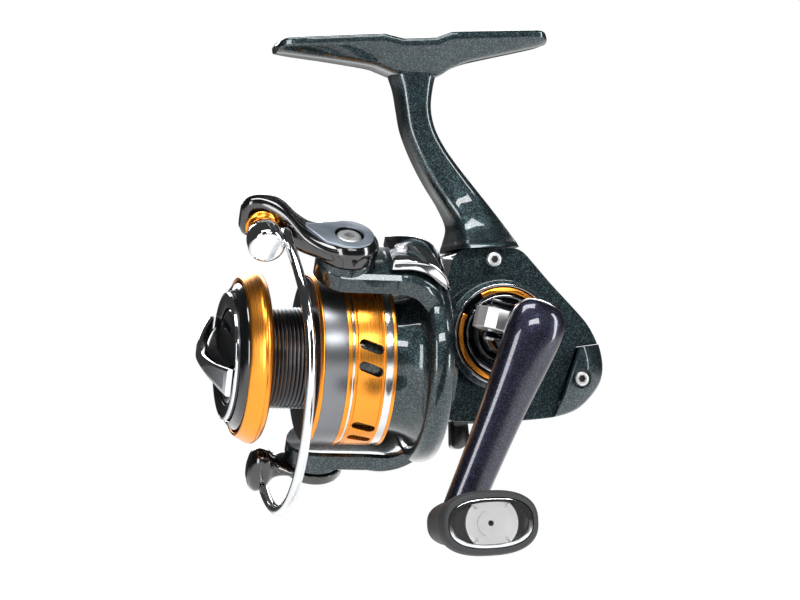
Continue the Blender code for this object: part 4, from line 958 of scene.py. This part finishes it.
@dataclass
class Spool:
    """The spool, its drag knob and fin."""

    shop: Shop
    kit: Finishes
    front: float = 39.4
    lip: float = 17.4
    drum: float = 10.1
    skirt: float = 17.2
    skirt_front: float = 25.4
    skirt_rear: float = 10.05
    slot_pairs: int = 6
    fin_tip: float = 47.4
    fin_reach: float = 12.2

    def slots(self) -> list[Solid]:
        """Tools for the skirt's slots: capsules that lean 20 degrees, in six pairs.

        Returns:
            The tools.
        """
        capsule = np.concatenate([arc((1.6, 0), 1.0, -90, 90, 12), arc((-1.6, 0), 1.0, 90, 270, 12)])
        lean = math.radians(20)
        made = []
        for i in range(self.slot_pairs):
            for j in (-7.5, 7.5):
                turn = self.shop.shaft.turned(89.0 + 360.0 * i / self.slot_pairs + j)
                spot = turn.at((0, 0, 15.25)).facing((0, math.sin(lean), math.cos(lean)), (1, 0, 0))
                made.append(slab(capsule, self.skirt - 2.4, self.skirt + 1.0, spot, CRISP))
        return made

    def wound_drum(self) -> Solid:
        """The drum: its radius ripples by 0.22 mm with a 0.8 mm pitch along the axis.

        Returns:
            The solid.
        """
        along = np.linspace(34.0, self.skirt_front, 150)
        ripple = self.drum - 0.1 + 0.22 * np.abs(np.sin(math.pi * along / 0.8))
        profile = np.concatenate([np.stack([ripple, along], -1), [(9.0, self.skirt_front), (9.0, 34.0)]])
        return turned(profile, self.shop.shaft, 96)

    def build(self) -> None:
        """Builds and dresses the spool and the drag."""
        shaft, kit = self.shop.shaft, self.kit
        gold = kit.gold
        grey = kit.turned("grey_anodised_aluminium", "#7C7E82", 0.30)
        silver = kit.turned("bright_cut_aluminium", "#D9DADC", 0.16)
        lip = spun([(15.3, self.front), (15.9, self.front), (self.lip, 36.7), (self.lip, 35.9), (16.5, 34.8),
                    (10.4, 33.8), (9.0, 33.8), (9.0, 36.8), (15.3, 36.8)],
                   shaft, [0.25, 0.5, 0.5, 0.4, 0.5, 0.2, 0.1, 0.1, 0.2], 128, 5)
        rim, back = self.skirt, self.skirt - 1.2
        shoulder = spun([(rim - 0.5, 25.4), (rim, 24.9), (rim, 24.6), (9.0, 24.6), (9.0, 25.4)],
                        shaft, 0.1, 128)
        face = spun([(rim - 0.9, 25.48), (rim - 0.9, 25.0), (9.2, 25.0), (9.2, 25.48)], shaft, 0.04, 128)
        bands = [(shoulder, gold), (face, kit.dark)]
        for low, high, out, finish in ((19.95, 24.6, 0.0, grey), (19.0, 19.95, 0.08, gold),
                                       (18.5, 19.0, -0.16, silver), (10.7, 12.2, -0.1, silver),
                                       (self.skirt_rear, 10.7, 0.0, gold)):
            bands.append((spun([(rim + out, high), (rim + out, low), (back, low), (back, high)], shaft, 0.06,
                               128), finish))
        body = [(rim, 18.5), (rim, 18.05), (rim - 0.14, 17.95), (rim, 17.85), (rim, 12.85),
                (rim - 0.14, 12.75), (rim, 12.65), (rim, 12.2), (back, 12.2), (back, 18.5)]
        bands.append((carved(spun(body, shaft, 0.04, 128, 3), self.slots()), gold))
        self.shop.put("spool_turning", [(lip, gold), (self.wound_drum(), kit.dark), *bands], "spool",
                      ("spool",))
        self.drag()

    def height(self, reach: Array) -> Array:
        """The fin's outer face: tip height less 4.1 mm times the share of its reach to the power 1.7."""
        return self.fin_tip - 4.1 * (np.abs(reach) / self.fin_reach) ** 1.7

    def drag(self) -> None:
        """The knob's black ring and core, its dark dial ring and the polished fin across it."""
        shaft, kit = self.shop.shaft, self.kit
        ring = spun([(12.95, 40.5), (13.3, 40.9), (14.3, 40.2), (14.8, 39.4), (14.8, 37.2), (6.6, 37.2),
                     (6.6, 38.8), (12.95, 38.8)], shaft, 0.25, 128)
        core = capped([(0, 38.6), (9.6, 38.6), (9.6, 41.0), (8.6, 41.4), (0, 41.4)], shaft, 0.5, 128)
        turn = shaft.turned(62.0)
        spots = np.array([-8.8, -6.4, -3.2, 0.0, 3.2, 6.4, 8.8])
        top, level = self.height(spots) - 1.9, 0 * spots
        rows = np.stack([spots, level, (40.0 + top) / 2, level + 2.2, (top - 40.0) / 1.9], -1)
        heart = lofted(ovals(rows, 1, 2), turn, 3.2)
        self.shop.put("drag_knob_moulding", [(solid, kit.black) for solid in (ring, core, heart)], "drag",
                      ("drag_knob",))
        dial = spun([(12.3, 41.9), (12.75, 41.5), (12.8, 40.7), (9.85, 40.7), (9.8, 41.3)], shaft, 0.12, 128)
        rim = spun([(12.75, 41.75), (12.85, 41.3), (12.5, 41.3), (12.3, 41.95)], shaft, 0.06, 128)
        self.shop.put("dial_ring_turning", [(dial, kit.dark), (rim, kit.chrome)], "drag",
                      ("drag_dial_ring",))
        reach = np.linspace(-self.fin_reach, self.fin_reach, 81)
        high = self.height(reach)
        half = 1.1 + 1.9 * np.abs(reach / self.fin_reach) ** 1.6
        section = ((-half, high - 1.1), (half, high - 1.1), (half, high - 0.35), (half - 0.35, high),
                   (0.35 - half, high), (-half, high - 0.35))
        corners = np.stack([np.stack(corner, -1) for corner in section], 1)
        grid = np.stack([np.concatenate([np.full((24, 1), at), rounded(line, 0.2, 4)], 1)
                         for at, line in zip(reach, corners)])
        fin = skin(turn.place(grid))
        parts = [(fin, kit.chrome)]
        for way in (-1, 1):
            spot = np.linspace(5.2, self.fin_reach - 0.8, 24) * way
            wide = 0.5 + 1.5 * (np.abs(spot / self.fin_reach)) ** 2
            top = self.height(spot)
            section = ((-wide, top + 0.03), (wide, top + 0.03), (wide, top - 0.3), (-wide, top - 0.3))
            inlay = np.stack([np.stack([spot, *corner], -1) for corner in section], 1)
            parts.append((skin(turn.place(inlay)), kit.satin))
        self.shop.put("fin_casting", parts, "drag", ("drag_fin",))


@dataclass
class Rotor:
    """The rotor: drum, flange and two arms, with the upper arm's polished cover."""

    shop: Shop
    kit: Finishes
    reach: float = 24.3
    thick: float = 4.1
    corner: float = 10.0
    half: float = 6.0
    pivot: float = PIVOT
    rear: float = -1.4
    drum: float = 14.6
    flange: float = 20.4

    def arm(self) -> Solid:
        """One arm: a bent strap that is part of a cup turned about the shaft.

        The profile runs from the hub out along the rear and up to the front, as an outer and an inner
        line of (radius r, forward a). Across the arm, at a distance t from its middle, a point lies at
        (sqrt(r^2 - t^2), t, a). The half width falls from 9.5 mm at the rear to 6 mm, and rounds off
        past the pivot along a circle about it.

        Returns:
            The solid, in the rotor's frame.
        """
        inside, climb = self.reach - self.thick, np.linspace(9.2, self.pivot + 5.97, 36)
        outer = np.concatenate([
            [(13.2, self.rear + 0.2)],
            arc((self.reach - self.corner, self.rear + self.corner), self.corner, -88, 0, 26),
            np.stack([np.full(36, self.reach), climb], -1)])
        inner = np.concatenate([
            [(13.2, self.rear + 3.2)], arc((inside - 6, self.rear + 9.4), 6.0, -88, 0, 26),
            np.stack([np.full(36, inside), climb], -1)])
        ahead = outer[:, 1]
        wide = np.interp(ahead, [self.rear, 5.0, 10.0], [9.3, 7.1, self.half])
        past = np.clip(ahead - self.pivot, 0.0, self.half)
        wide = np.where(ahead > self.pivot, np.sqrt(np.maximum(self.half**2 - past**2, 0.01)), wide)
        soft = np.minimum(0.9, wide * 0.45)
        t = np.linspace(-1.0, 1.0, 15)
        across = wide[:, None] * t[None, :]
        drop = np.where(np.abs(t) > 0.86, soft[:, None] * (1 - np.sqrt(np.maximum(
            0, 1 - ((np.abs(t) - 0.86) / 0.14) ** 2))), 0.0)
        rows = []
        for line, sign in ((outer, -1), (inner, 1)):
            radius = line[:, 0][:, None] + sign * 0.6 * drop
            out = np.sqrt(radius**2 - across**2)
            rows.append(np.stack([out, across, line[:, 1][:, None] + 0 * across], -1))
        grid = np.concatenate([rows[0], rows[1][:, ::-1]], axis=1)
        return Solid(grid.reshape(-1, 3), skin(grid).faces)

    def build(self) -> None:
        """Builds and dresses the rotor and its cover."""
        shaft, rotor, kit = self.shop.shaft, self.shop.rotor, self.kit
        rear = self.rear
        drum = spun([(self.drum, 17.4), (self.drum, 7.5), (15.6, 4.2), (17.2, 2.8), (17.8, 3.8), (19.4, 3.8),
                     (self.flange, 2.8), (self.flange, 0.6), (19.6, rear + 0.4), (18.4, rear), (11.8, rear),
                     (11.8, 6.1), (2.6, 6.1), (2.6, 8.1), (12.4, 8.1), (12.4, 17.4)],
                    shaft, [0.3, 2, 1, 0.5, 0.5, 0.7, 0.8, 0.6, 0.6, 0.5, 0.3, 0.3, 0.1, 0.1, 0.3, 0.3],
                    128, 5)
        parts = [(drum, kit.pearl)]
        strap = self.arm()
        for degrees, top in ((0.0, UPPER_HUB), (180.0, LOWER_HUB)):
            turn = rotor.turned(degrees)
            parts.append((Solid(turn.place(strap.points), strap.faces), kit.pearl))
            hub = turn.at((0, 0, self.pivot)).facing((0, 1, 0), (1, 0, 0))
            parts.append((spun([(5.8, top), (5.8, 21.7), (1.6, 21.7), (1.6, top)], hub, 0.3), kit.pearl))
        self.shop.put("rotor_casting", parts, "rotor", ("rotor",))
        self.cover()

    def cover(self) -> None:
        """The polished cover that wraps the upper arm's rear corner, and its screw."""
        rotor, kit = self.shop.rotor, self.kit
        crown = self.reach + 2.9
        front = 11.9
        outer = flowing(np.array([(crown - 0.5, front), (crown - 0.2, 8.8), (crown - 0.35, 6.0),
                                  (crown - 1.2, 3.2), (crown - 2.7, 1.2), (crown - 4.7, -0.1),
                                  (crown - 6.9, -0.8)]), 40)
        low = self.reach + GAP
        inner = np.concatenate([arc((low - self.corner, self.rear + self.corner), self.corner, -50, 0, 20),
                                [(low, front)]])
        outline = np.concatenate([outer, inner])
        flat = rotor.facing((1, 0, 0), (0, -1, 0))
        shell = slab(outline[::-1], -5.0, 5.0, flat, 0.6, 5)
        self.shop.put("arm_cover_shell", [(shell, kit.chrome)], "rotor", ("arm_cover",))
        head = socket_screw(rotor.at((crown, 0, 9.4)).facing((0, 1, 0), (1, 0, 0)), 1.35, 0.0, kit)
        self.shop.put("arm_cover_screw_head", head, "rotor", ("arm_cover_screw",))


@dataclass
class Bail:
    """The bail: arm, line roller, wire with its cap, and the holder on the lower arm."""

    shop: Shop
    kit: Finishes
    pivot: float = PIVOT
    upper: float = UPPER_HUB
    lower: float = LOWER_HUB
    gap: float = GAP
    hub: float = 6.2
    hub_thick: float = 4.4
    holder_thick: float = 2.2
    wire: float = 1.0
    wire_forward: float = 30.2
    wire_lift: float = 3.2
    wire_reach: float = 30.4
    wire_side: float = 31.2
    roller_reach: float = 29.4
    roller_forward: float = 37.6

    def route(self) -> Array:
        """The wire's centre line: half an ellipse in front of the spool, with a lift into the cap.

        At the angle t the point is (R cos t, 0.4 k - S sin t, F + L k^12), with k = (1 + cos t) / 2. Two
        points before it carry the line into the cap, through a smooth curve.

        Returns:
            Points in the rotor's frame.
        """
        t = np.radians(np.linspace(3.0, 174.0, 27))
        k = (1 + np.cos(t)) / 2
        hoop = np.stack([self.wire_reach * np.cos(t), 0.4 * k - self.wire_side * np.sin(t),
                         self.wire_forward + self.wire_lift * k**12], -1)
        lead = np.array([(self.roller_reach, -2.0, self.roller_forward - 1.2),
                         (self.wire_reach - 0.3, -1.2, self.wire_forward + 4.6)])
        return flowing(np.concatenate([lead, hoop]), 240)

    def build(self) -> None:
        """Builds and dresses the bail's pieces."""
        rotor, kit = self.shop.rotor, self.kit
        low = self.upper + self.gap
        high = low + self.hub_thick
        middle = (low + high) / 2
        hub = rotor.at((0, 0, self.pivot)).facing((0, 1, 0), (1, 0, 0))
        disc = spun([(self.hub, high - 1.6), (self.hub, low), (1.6, low), (1.6, high - 1.6),
                     (3.0, high - 1.6), (3.0, high - 0.35), (4.9, high)],
                    hub, [0.9, 0.4, 0.1, 0.1, 0.1, 0.1, 0.6], 96, 6)
        rows = ovals([
            (middle, 0, self.pivot, 2.15, 5.9), (middle, 0.7, 25.0, 2.15, 5.6),
            (middle + 0.6, 2.6, 29.4, 2.8, 5.2), (middle + 2.0, 5.0, 33.4, 4.1, 4.0),
            (middle + 2.3, 5.8, 37.4, 4.5, 2.3), (middle + 2.1, 5.9, 40.2, 4.1, 1.7),
            (middle + 2.0, 5.9, 41.4, 2.4, 1.0)])
        blade = lofted(rows, rotor, 2.9, 72, 90)
        seat = capped([(0, high - 1.6), (3.0, high - 1.6), (3.0, high + 3), (0, high + 3)], hub, 0.05, 64)
        blade = carved(blade, [seat])
        drop = np.concatenate([arc((0, 0), 4.9, -195, 20, 48),
                               [(3.4, 4.6), (1.5, 9.0), (0.4, 8.8), (-3.0, 5.2)]])
        facet = carved(slab(rounded(drop, 0.6, 3), high - 0.4, high + 0.12, hub, 0.06), [seat])
        along = (facet.points - hub.origin) @ hub.rows[1]
        facet.points += 0.08 * np.maximum(along - 4.7, 0.0)[:, None] ** 2 * hub.rows[2]
        self.shop.put("bail_arm_casting", [(disc, kit.black), (blade, kit.black), (facet, kit.facet)],
                      "bail", ("bail_arm",))
        screw = socket_screw(hub.at((0, 0, high - 0.3)), 2.5, 0.0, kit, 0.45)
        stud = capped([(0, self.upper - 3), (1.2, self.upper - 3), (1.2, high - 0.9), (0, high - 0.9)], hub)
        self.shop.put("bail_arm_screw_head", [*screw, (stud, kit.steel)], "bail", ("bail_arm_screw",))
        spot = rotor.at((self.roller_reach, 0, self.roller_forward)).facing((1, 0, 0), (0, 1, 0))
        roller = spun([(3.3, 1.3), (3.2, 0.95), (2.6, 0.55), (2.6, -0.55), (3.2, -0.95), (3.3, -1.3),
                       (0.9, -1.3), (0.9, 1.3)],
                      spot.at((0, 0, 1.5)), [0.2, 0.2, 0.5, 0.5, 0.2, 0.2, 0.1, 0.1], 72)
        self.shop.put("line_roller_turning", [(roller, kit.gold)], "roller", ("line_roller",))
        cap = capped([(0, -5.6), (3.1, -5.6), (3.7, -4.9), (3.7, -2.0), (3.3, -0.2), (0, -0.2)],
                     spot, 0.45, 72, 6)
        wire = tube(rotor.place(self.route()), self.wire, rotor.rows[2])
        self.shop.put("bail_wire_and_cap", [(wire, kit.chrome), (cap, kit.chrome)], "bail", ("bail_wire",))
        self.holder()

    def holder(self) -> None:
        """The holder: a disc on the lower arm and a lobe that grips the wire's end."""
        rotor, kit = self.shop.rotor, self.kit
        low = self.lower + self.gap
        high = low + self.holder_thick
        hub = rotor.turned(180.0).at((0, 0, self.pivot)).facing((0, 1, 0), (1, 0, 0))
        disc = spun([(self.hub, high), (self.hub, low), (1.6, low), (1.6, high - 0.9), (2.6, high - 0.9),
                     (2.6, high)], hub, [0.7, 0.4, 0.1, 0.1, 0.1, 0.2], 96, 5)
        rows = ovals([
            (-low - 1.1, 0, self.pivot + 3.0, 1.0, 5.0), (-low - 1.1, 0.2, 26.0, 1.4, 3.9),
            (-low - 1.6, 0.0, 28.2, 2.3, 2.7), (-low - 2.0, -0.4, 29.8, 4.1, 3.0),
            (-low - 2.4, -0.4, 31.6, 4.8, 3.2), (-low - 2.4, -0.4, 33.0, 3.9, 2.6),
            (-low - 2.4, -0.4, 33.7, 2.0, 1.3)])
        lobe = lofted(rows, rotor, 2.4, 56, 80)
        self.shop.put("bail_holder_casting", [(disc, kit.black), (lobe, kit.black)], "bail",
                      ("bail_holder",))
        screw = socket_screw(hub.at((0, 0, high)), 2.2, 0.1, kit, 0.5)
        stud = capped([(0, 21.9), (1.2, 21.9), (1.2, high - 0.4), (0, high - 0.4)], hub)
        self.shop.put("bail_holder_screw_head", [*screw, (stud, kit.steel)], "bail",
                      ("bail_holder_screw",))


@dataclass
class Crank:
    """The crank: trim ring, shank with its lock nut, arm and knob."""

    shop: Shop
    kit: Finishes
    half_width: float = HALF_WIDTH
    gap: float = GAP
    ring: float = 10.2
    drop: float = 64.5
    plane: float = 39.4
    knob_length: float = 19.0
    knob_wide: float = 19.0
    knob_high: float = 12.2

    def trim(self) -> None:
        """The silver ring round the shank, with two gold inlays."""
        crank, kit = self.shop.crank, self.kit
        face = self.half_width + 0.4 + self.gap
        gold = Finish("gold_plating", GOLD, 0.22, 1.0, 0.0, "gold_anodised")
        ring = spun([(self.ring, face + 0.8), (self.ring, face), (6.4, face), (6.4, face + 1.3),
                     (7.9, face + 1.3), (8.2, face + 0.5), (9.7, face + 0.5), (9.8, face + 0.8)],
                    crank, 0.14, 128, 5)
        line = spun([(self.ring + 0.05, face + 0.9), (self.ring + 0.05, face + 0.4),
                     (self.ring - 0.4, face + 0.4), (self.ring - 0.4, face + 0.9)], crank, 0.1, 128)
        inner = spun([(7.95, face + 1.4), (7.95, face + 0.9), (7.5, face + 0.9), (7.5, face + 1.4)],
                     crank, 0.1, 128)
        self.shop.put("trim_ring_turning", [(ring, kit.smoke), (line, kit.chrome), (inner, kit.chrome)],
                      "body", ("trim_ring",))
        for name, start, end in (("trim_inlay_upper", 20, 118), ("trim_inlay_lower", 150, 262)):
            outline = np.concatenate([arc((0, 0), 9.5, start, end, 40), arc((0, 0), 8.5, end, start, 40)])
            inlay = slab(outline, face + 0.55, face + 1.1, crank, 0.12)
            self.shop.put(name + "_strip", [(inlay, gold)], "body", (name,))

    def build(self) -> None:
        """Builds and dresses the crank."""
        self.trim()
        crank, kit = self.shop.crank, self.kit
        base = self.half_width + 0.7
        hub = spun([(3.2, 22.6), (4.6, 21.4), (5.4, base + 3.4), (5.4, base + 0.6), (0.4, base + 0.6),
                    (0.4, 22.6)], crank, [0.6, 1.2, 1.0, 0.4, 0.05, 0.05], 96, 6)
        rows = ovals([(1.6, 1.4, 19.6, 3.0, 4.4), (1.6, 1.4, 22.6, 2.5, 4.4), (1.6, 1.4, 27.0, 2.3, 4.4),
                      (1.6, 1.4, 30.4, 2.3, 4.4), (1.6, 1.4, 31.6, 1.9, 3.9)])
        neck = lofted(rows, crank, 3.4, 56, 40)
        nut = self.shop.nut
        ear = rounded([(-6.4, -1.8), (1.7, -1.8), (1.7, 1.6), (-6.4, 1.6)], 0.7)
        ears = [(slab(ear, low, low + 1.2, nut, 0.25), kit.smoke) for low in (2.5, -3.7)]
        self.shop.put("shank_casting", [(hub, kit.smoke), (neck, kit.smoke), *ears], "crank",
                      ("handle_shank",))
        ten = arc((0, 0), 3.7, 18, 18 + 324, 10)
        facets = slab(ten, -2.1, 2.1, nut, 0.3)
        self.shop.put("lock_nut_casting", [(facets, kit.steel)], "lock_nut", ("fold_lock_nut",), 20.0)
        self.arm()
        self.knob()
        face = -self.half_width - 1.1
        cap = capped([(0, face), (5.4, face), (5.9, face - 0.4), (5.9, face - 1.8), (5.2, face - 2.5),
                      (0, face - 2.7)], crank, 0.35)
        self.shop.put("far_cap_moulding", [(cap, kit.black)], "crank", ("far_cap",))

    def arm(self) -> None:
        """The arm: ovals along a line from the elbow to the knob, and a root that comes up the neck."""
        crank, kit = self.shop.crank, self.kit
        slope = math.radians(self.drop)
        along = np.array([-math.cos(slope), -math.sin(slope), 0.0])
        across = np.array([math.sin(slope), -math.cos(slope), 0.0])
        out = np.array([0.0, 0.0, 1.0])
        rows = []
        for reach, rise, wide, thick in (
                (-5.5, -0.6, 1.6, 1.0), (-5.0, -0.5, 3.2, 2.1), (-4.2, -0.4, 4.3, 2.8),
                (-2.4, -0.2, 5.3, 3.4), (1.0, 0.0, 5.6, 3.8), (7.0, 0.0, 5.2, 3.7),
                (17.0, -0.2, 4.4, 3.3), (29.0, -0.5, 3.9, 3.0), (37.0, -0.7, 3.7, 2.9),
                (41.8, -0.7, 3.4, 2.7), (43.0, -0.7, 2.6, 2.1), (43.6, -0.7, 1.5, 1.3)):
            centre = along * reach + out * (self.plane + rise) - across * (0.6 + 0.006 * reach)
            rows.append([*centre, *(across * wide), *(out * thick)])
        bar = lofted(np.array(rows), crank, 2.3, 72, 120)
        root = lofted(ovals([(0.8, 0, high, half, half) for high, half in
                             ((31.9, 3.3), (32.6, 4.0), (34.8, 4.6), (38.4, 4.8))]), crank, 2.4, 56, 30)
        self.shop.put("handle_arm_casting", [(bar, kit.violet), (root, kit.violet)], "crank",
                      ("handle_arm",))

    def knob(self) -> None:
        """The rubber knob, waisted superellipses along its axis, and its polished end plate."""
        knob, kit = self.shop.knob, self.kit
        crank = self.shop.crank
        start = self.plane + 3.9 - (knob.origin @ crank.rows[2] - crank.origin @ crank.rows[2])
        knob = knob.at((0, 0, start))
        long, w, h = self.knob_length, self.knob_wide / 2, self.knob_high / 2
        stations = ((0.0, 0.66, 0.54), (0.5, 0.74, 0.62), (1.6, 0.86, 0.74), (6.0, 0.90, 0.78),
                    (12.0, 0.95, 0.88), (16.0, 1.0, 1.0), (17.8, 0.99, 0.985), (18.6, 0.965, 0.95),
                    (19.0, 0.93, 0.90))
        rows = ovals([(0, 0, high, share_w * w, share_h * h) for high, share_w, share_h in stations])
        grip = lofted(rows, knob, 2.6, 96, 90)
        seat = slab(super_oval(w * 0.87, h * 0.79, 2.5, 96), long - 1.1, long + 1, knob, CRISP)
        grip = carved(grip, [seat])
        self.shop.put("knob_moulding", [(grip, kit.rubber)], "knob", ("handle_knob",))
        oval = super_oval(w * 0.87 - 0.1, h * 0.79 - 0.1, 2.5, 96)
        inner = super_oval(w * 0.87 - 0.95, h * 0.79 - 0.85, 2.4, 96)
        rim = carved(slab(oval, long - 1.2, long - 0.05, knob, 0.25),
                     [slab(inner, long - 2, long + 1, knob, CRISP)])
        # The near-black floor under and round the hub's openings is painted shade in the plate's recess.
        floor = slab(inset(inner, -0.1), long - 1.2, long - 0.95, knob, CRISP)
        hub = carved(slab(arc((0.2, 0), 5.1, 0, 355, 72), long - 1.1, long - 0.2, knob, 0.15),
                     [slab(inset(inner, -0.05), long - 2, long + 1, knob, CRISP)], Cut.KEEP)
        tools = [capped([(0, long - 2), (0.55, long - 2), (0.55, long + 2), (0, long + 2)], knob, 0.05, 32)]
        for way in (-1, 1):
            for up in (-1, 1):
                cut = np.array([(2.6, 2.9), (3.0, 2.7), (4.2, 4.3), (3.8, 4.5)]) * (way, up)
                tools.append(slab(cut if way * up < 0 else cut[::-1], long - 0.6, long + 2, knob, CRISP))
        bow = np.concatenate([arc((0, 0), 2.75, 118, 242, 24), arc((0, 0), 2.5, 242, 118, 24)])
        tools.append(slab(bow, long - 0.5, long + 2, knob, CRISP))
        hub = carved(hub, tools)
        self.shop.put("knob_end_plate", [(rim, kit.chrome), (hub, kit.steel), (floor, kit.recess_shade)], "knob",
                      ("knob_plate",))


# ---------------------------------------------------------------- studio


@dataclass
class Studio:
    """The camera, lights, floor and world."""

    azimuth: float = -13.28
    elevation: float = -2.22
    roll: float = 3.03
    distance: float = 792.0
    lens: float = 175.9
    look_at: tuple[float, float, float] = (-4.88, 0.0, -52.5)
    floor: float = -175.0

    def camera(self) -> None:
        """A long lens at the viewing angle, rolled a little."""
        a, e, r = (math.radians(v) for v in (self.azimuth, self.elevation, self.roll))
        back = np.array([math.sin(a) * math.cos(e), -math.cos(a) * math.cos(e), math.sin(e)])
        level = np.array([math.cos(a), math.sin(a), 0.0])
        upright = np.cross(back, level)
        right = level * math.cos(r) - upright * math.sin(r)
        up = upright * math.cos(r) + level * math.sin(r)
        data = bpy.data.cameras.new("long_lens")
        data.lens, data.sensor_width = self.lens, 36.0
        data.clip_start, data.clip_end = 0.01, 20.0
        obj = bpy.data.objects.new("long_lens", data)
        place = (np.array(self.look_at) + self.distance * back) * MM
        obj.matrix_world = Matrix([*np.stack([right, up, back, place], -1).tolist(), [0, 0, 0, 1]])
        bpy.context.scene.collection.objects.link(obj)
        bpy.context.scene.camera = obj

    def panel(self, name: str, spot: tuple[float, float, float], size: tuple[float, float],
              watts: float) -> None:
        """Adds a soft rectangular lamp that faces the reel.

        Args:
            name: The lamp's name.
            spot: Its place, in mm.
            size: Its width and height, in mm.
            watts: Its power.
        """
        data = bpy.data.lights.new(name, "AREA")
        data.shape, data.size, data.size_y, data.energy = "RECTANGLE", size[0] * MM, size[1] * MM, watts
        obj = bpy.data.objects.new(name, data)
        obj.location = Vector(spot) * MM
        aim = Vector(self.look_at) * MM - obj.location
        obj.rotation_euler = aim.to_track_quat("-Z", "Y").to_euler()
        bpy.context.scene.collection.objects.link(obj)

    def build(self) -> None:
        """Sets up the whole studio."""
        self.camera()
        self.panel("softbox_above", (-60, -260, 520), (460, 260), 4.6)
        self.panel("softbox_left", (-420, -620, -20), (220, 520), 3.6)
        self.panel("strip_right", (520, -340, 60), (110, 520), 2.4)
        self.panel("strip_front", (120, -720, 260), (320, 120), 1.8)
        self.panel("rim_behind", (60, 480, 240), (500, 260), 2.4)
        world = bpy.data.worlds.new("white_cove")
        world.use_nodes = True
        tree = world.node_tree
        seen = add_node(tree, "ShaderNodeLightPath")
        shade = add_node(tree, "ShaderNodeMapRange", {}, {
            "Value": seen.outputs["Is Camera Ray"], "To Min": 0.05, "To Max": 1.0})
        back = tree.nodes["Background"]
        back.inputs["Color"].default_value = (1.0, 1.0, 1.0, 1.0)
        tree.links.new(shade.outputs["Result"], back.inputs["Strength"])
        bpy.context.scene.world = world
        bpy.context.scene.view_settings.view_transform = "Standard"
        mesh = bpy.data.meshes.new("studio_floor")
        half = 3.0
        mesh.from_pydata([(-half, -half, self.floor * MM), (half, -half, self.floor * MM),
                          (half, half, self.floor * MM), (-half, half, self.floor * MM)], [], [(0, 1, 2, 3)])
        paper = bpy.data.materials.new("white_paper")
        paper.use_nodes = True
        shader = paper.node_tree.nodes["Principled BSDF"]
        shader.inputs["Base Color"].default_value = (0.93, 0.93, 0.93, 1.0)
        shader.inputs["Roughness"].default_value = 0.9
        shader.inputs["Emission Color"].default_value = (1.0, 1.0, 1.0, 1.0)
        ray = add_node(paper.node_tree, "ShaderNodeLightPath")
        glow = add_node(paper.node_tree, "ShaderNodeMapRange", {}, {
            "Value": ray.outputs["Is Camera Ray"], "To Min": 0.1, "To Max": 0.95})
        paper.node_tree.links.new(glow.outputs["Result"], shader.inputs["Emission Strength"])
        mesh.materials.append(paper)
        floor = bpy.data.objects.new("studio_floor", mesh)
        bpy.context.scene.collection.objects.link(floor)


def dress_nodes(frame: dict[str, Any], kit: Finishes) -> None:
    """Gives every frame node the finish of its material slot.

    Args:
        frame: The loaded frame.
        kit: The finishes.
    """
    finishes = [kit.pearl, kit.violet, kit.gold, kit.chrome, kit.steel, kit.brass, kit.black, kit.rubber,
                kit.felt]
    by_slot = {finish.slot: finish for finish in finishes}
    for part in frame["record"]["subparts"]:
        node = frame["nodes"][part["node"]]
        node.data.materials.clear()
        node.data.materials.append(by_slot[part["material_slot"]].material())


def main() -> None:
    """Builds the reel piece by piece and the studio round it."""
    logging.basicConfig(level=logging.INFO, format="%(name)s: %(message)s")
    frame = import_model()
    shop = Shop.from_joints(frame["joints"])
    kit = Finishes(tuple(float(v) for v in shop.shaft.rows[2]))
    dress_nodes(frame, kit)
    for assembly in (Body(shop, kit), Spool(shop, kit), Rotor(shop, kit), Bail(shop, kit), Crank(shop, kit)):
        assembly.build()
    Studio().build()
    LOG.info("%d pieces", shop.made)


if __name__ == "__main__":
    main()
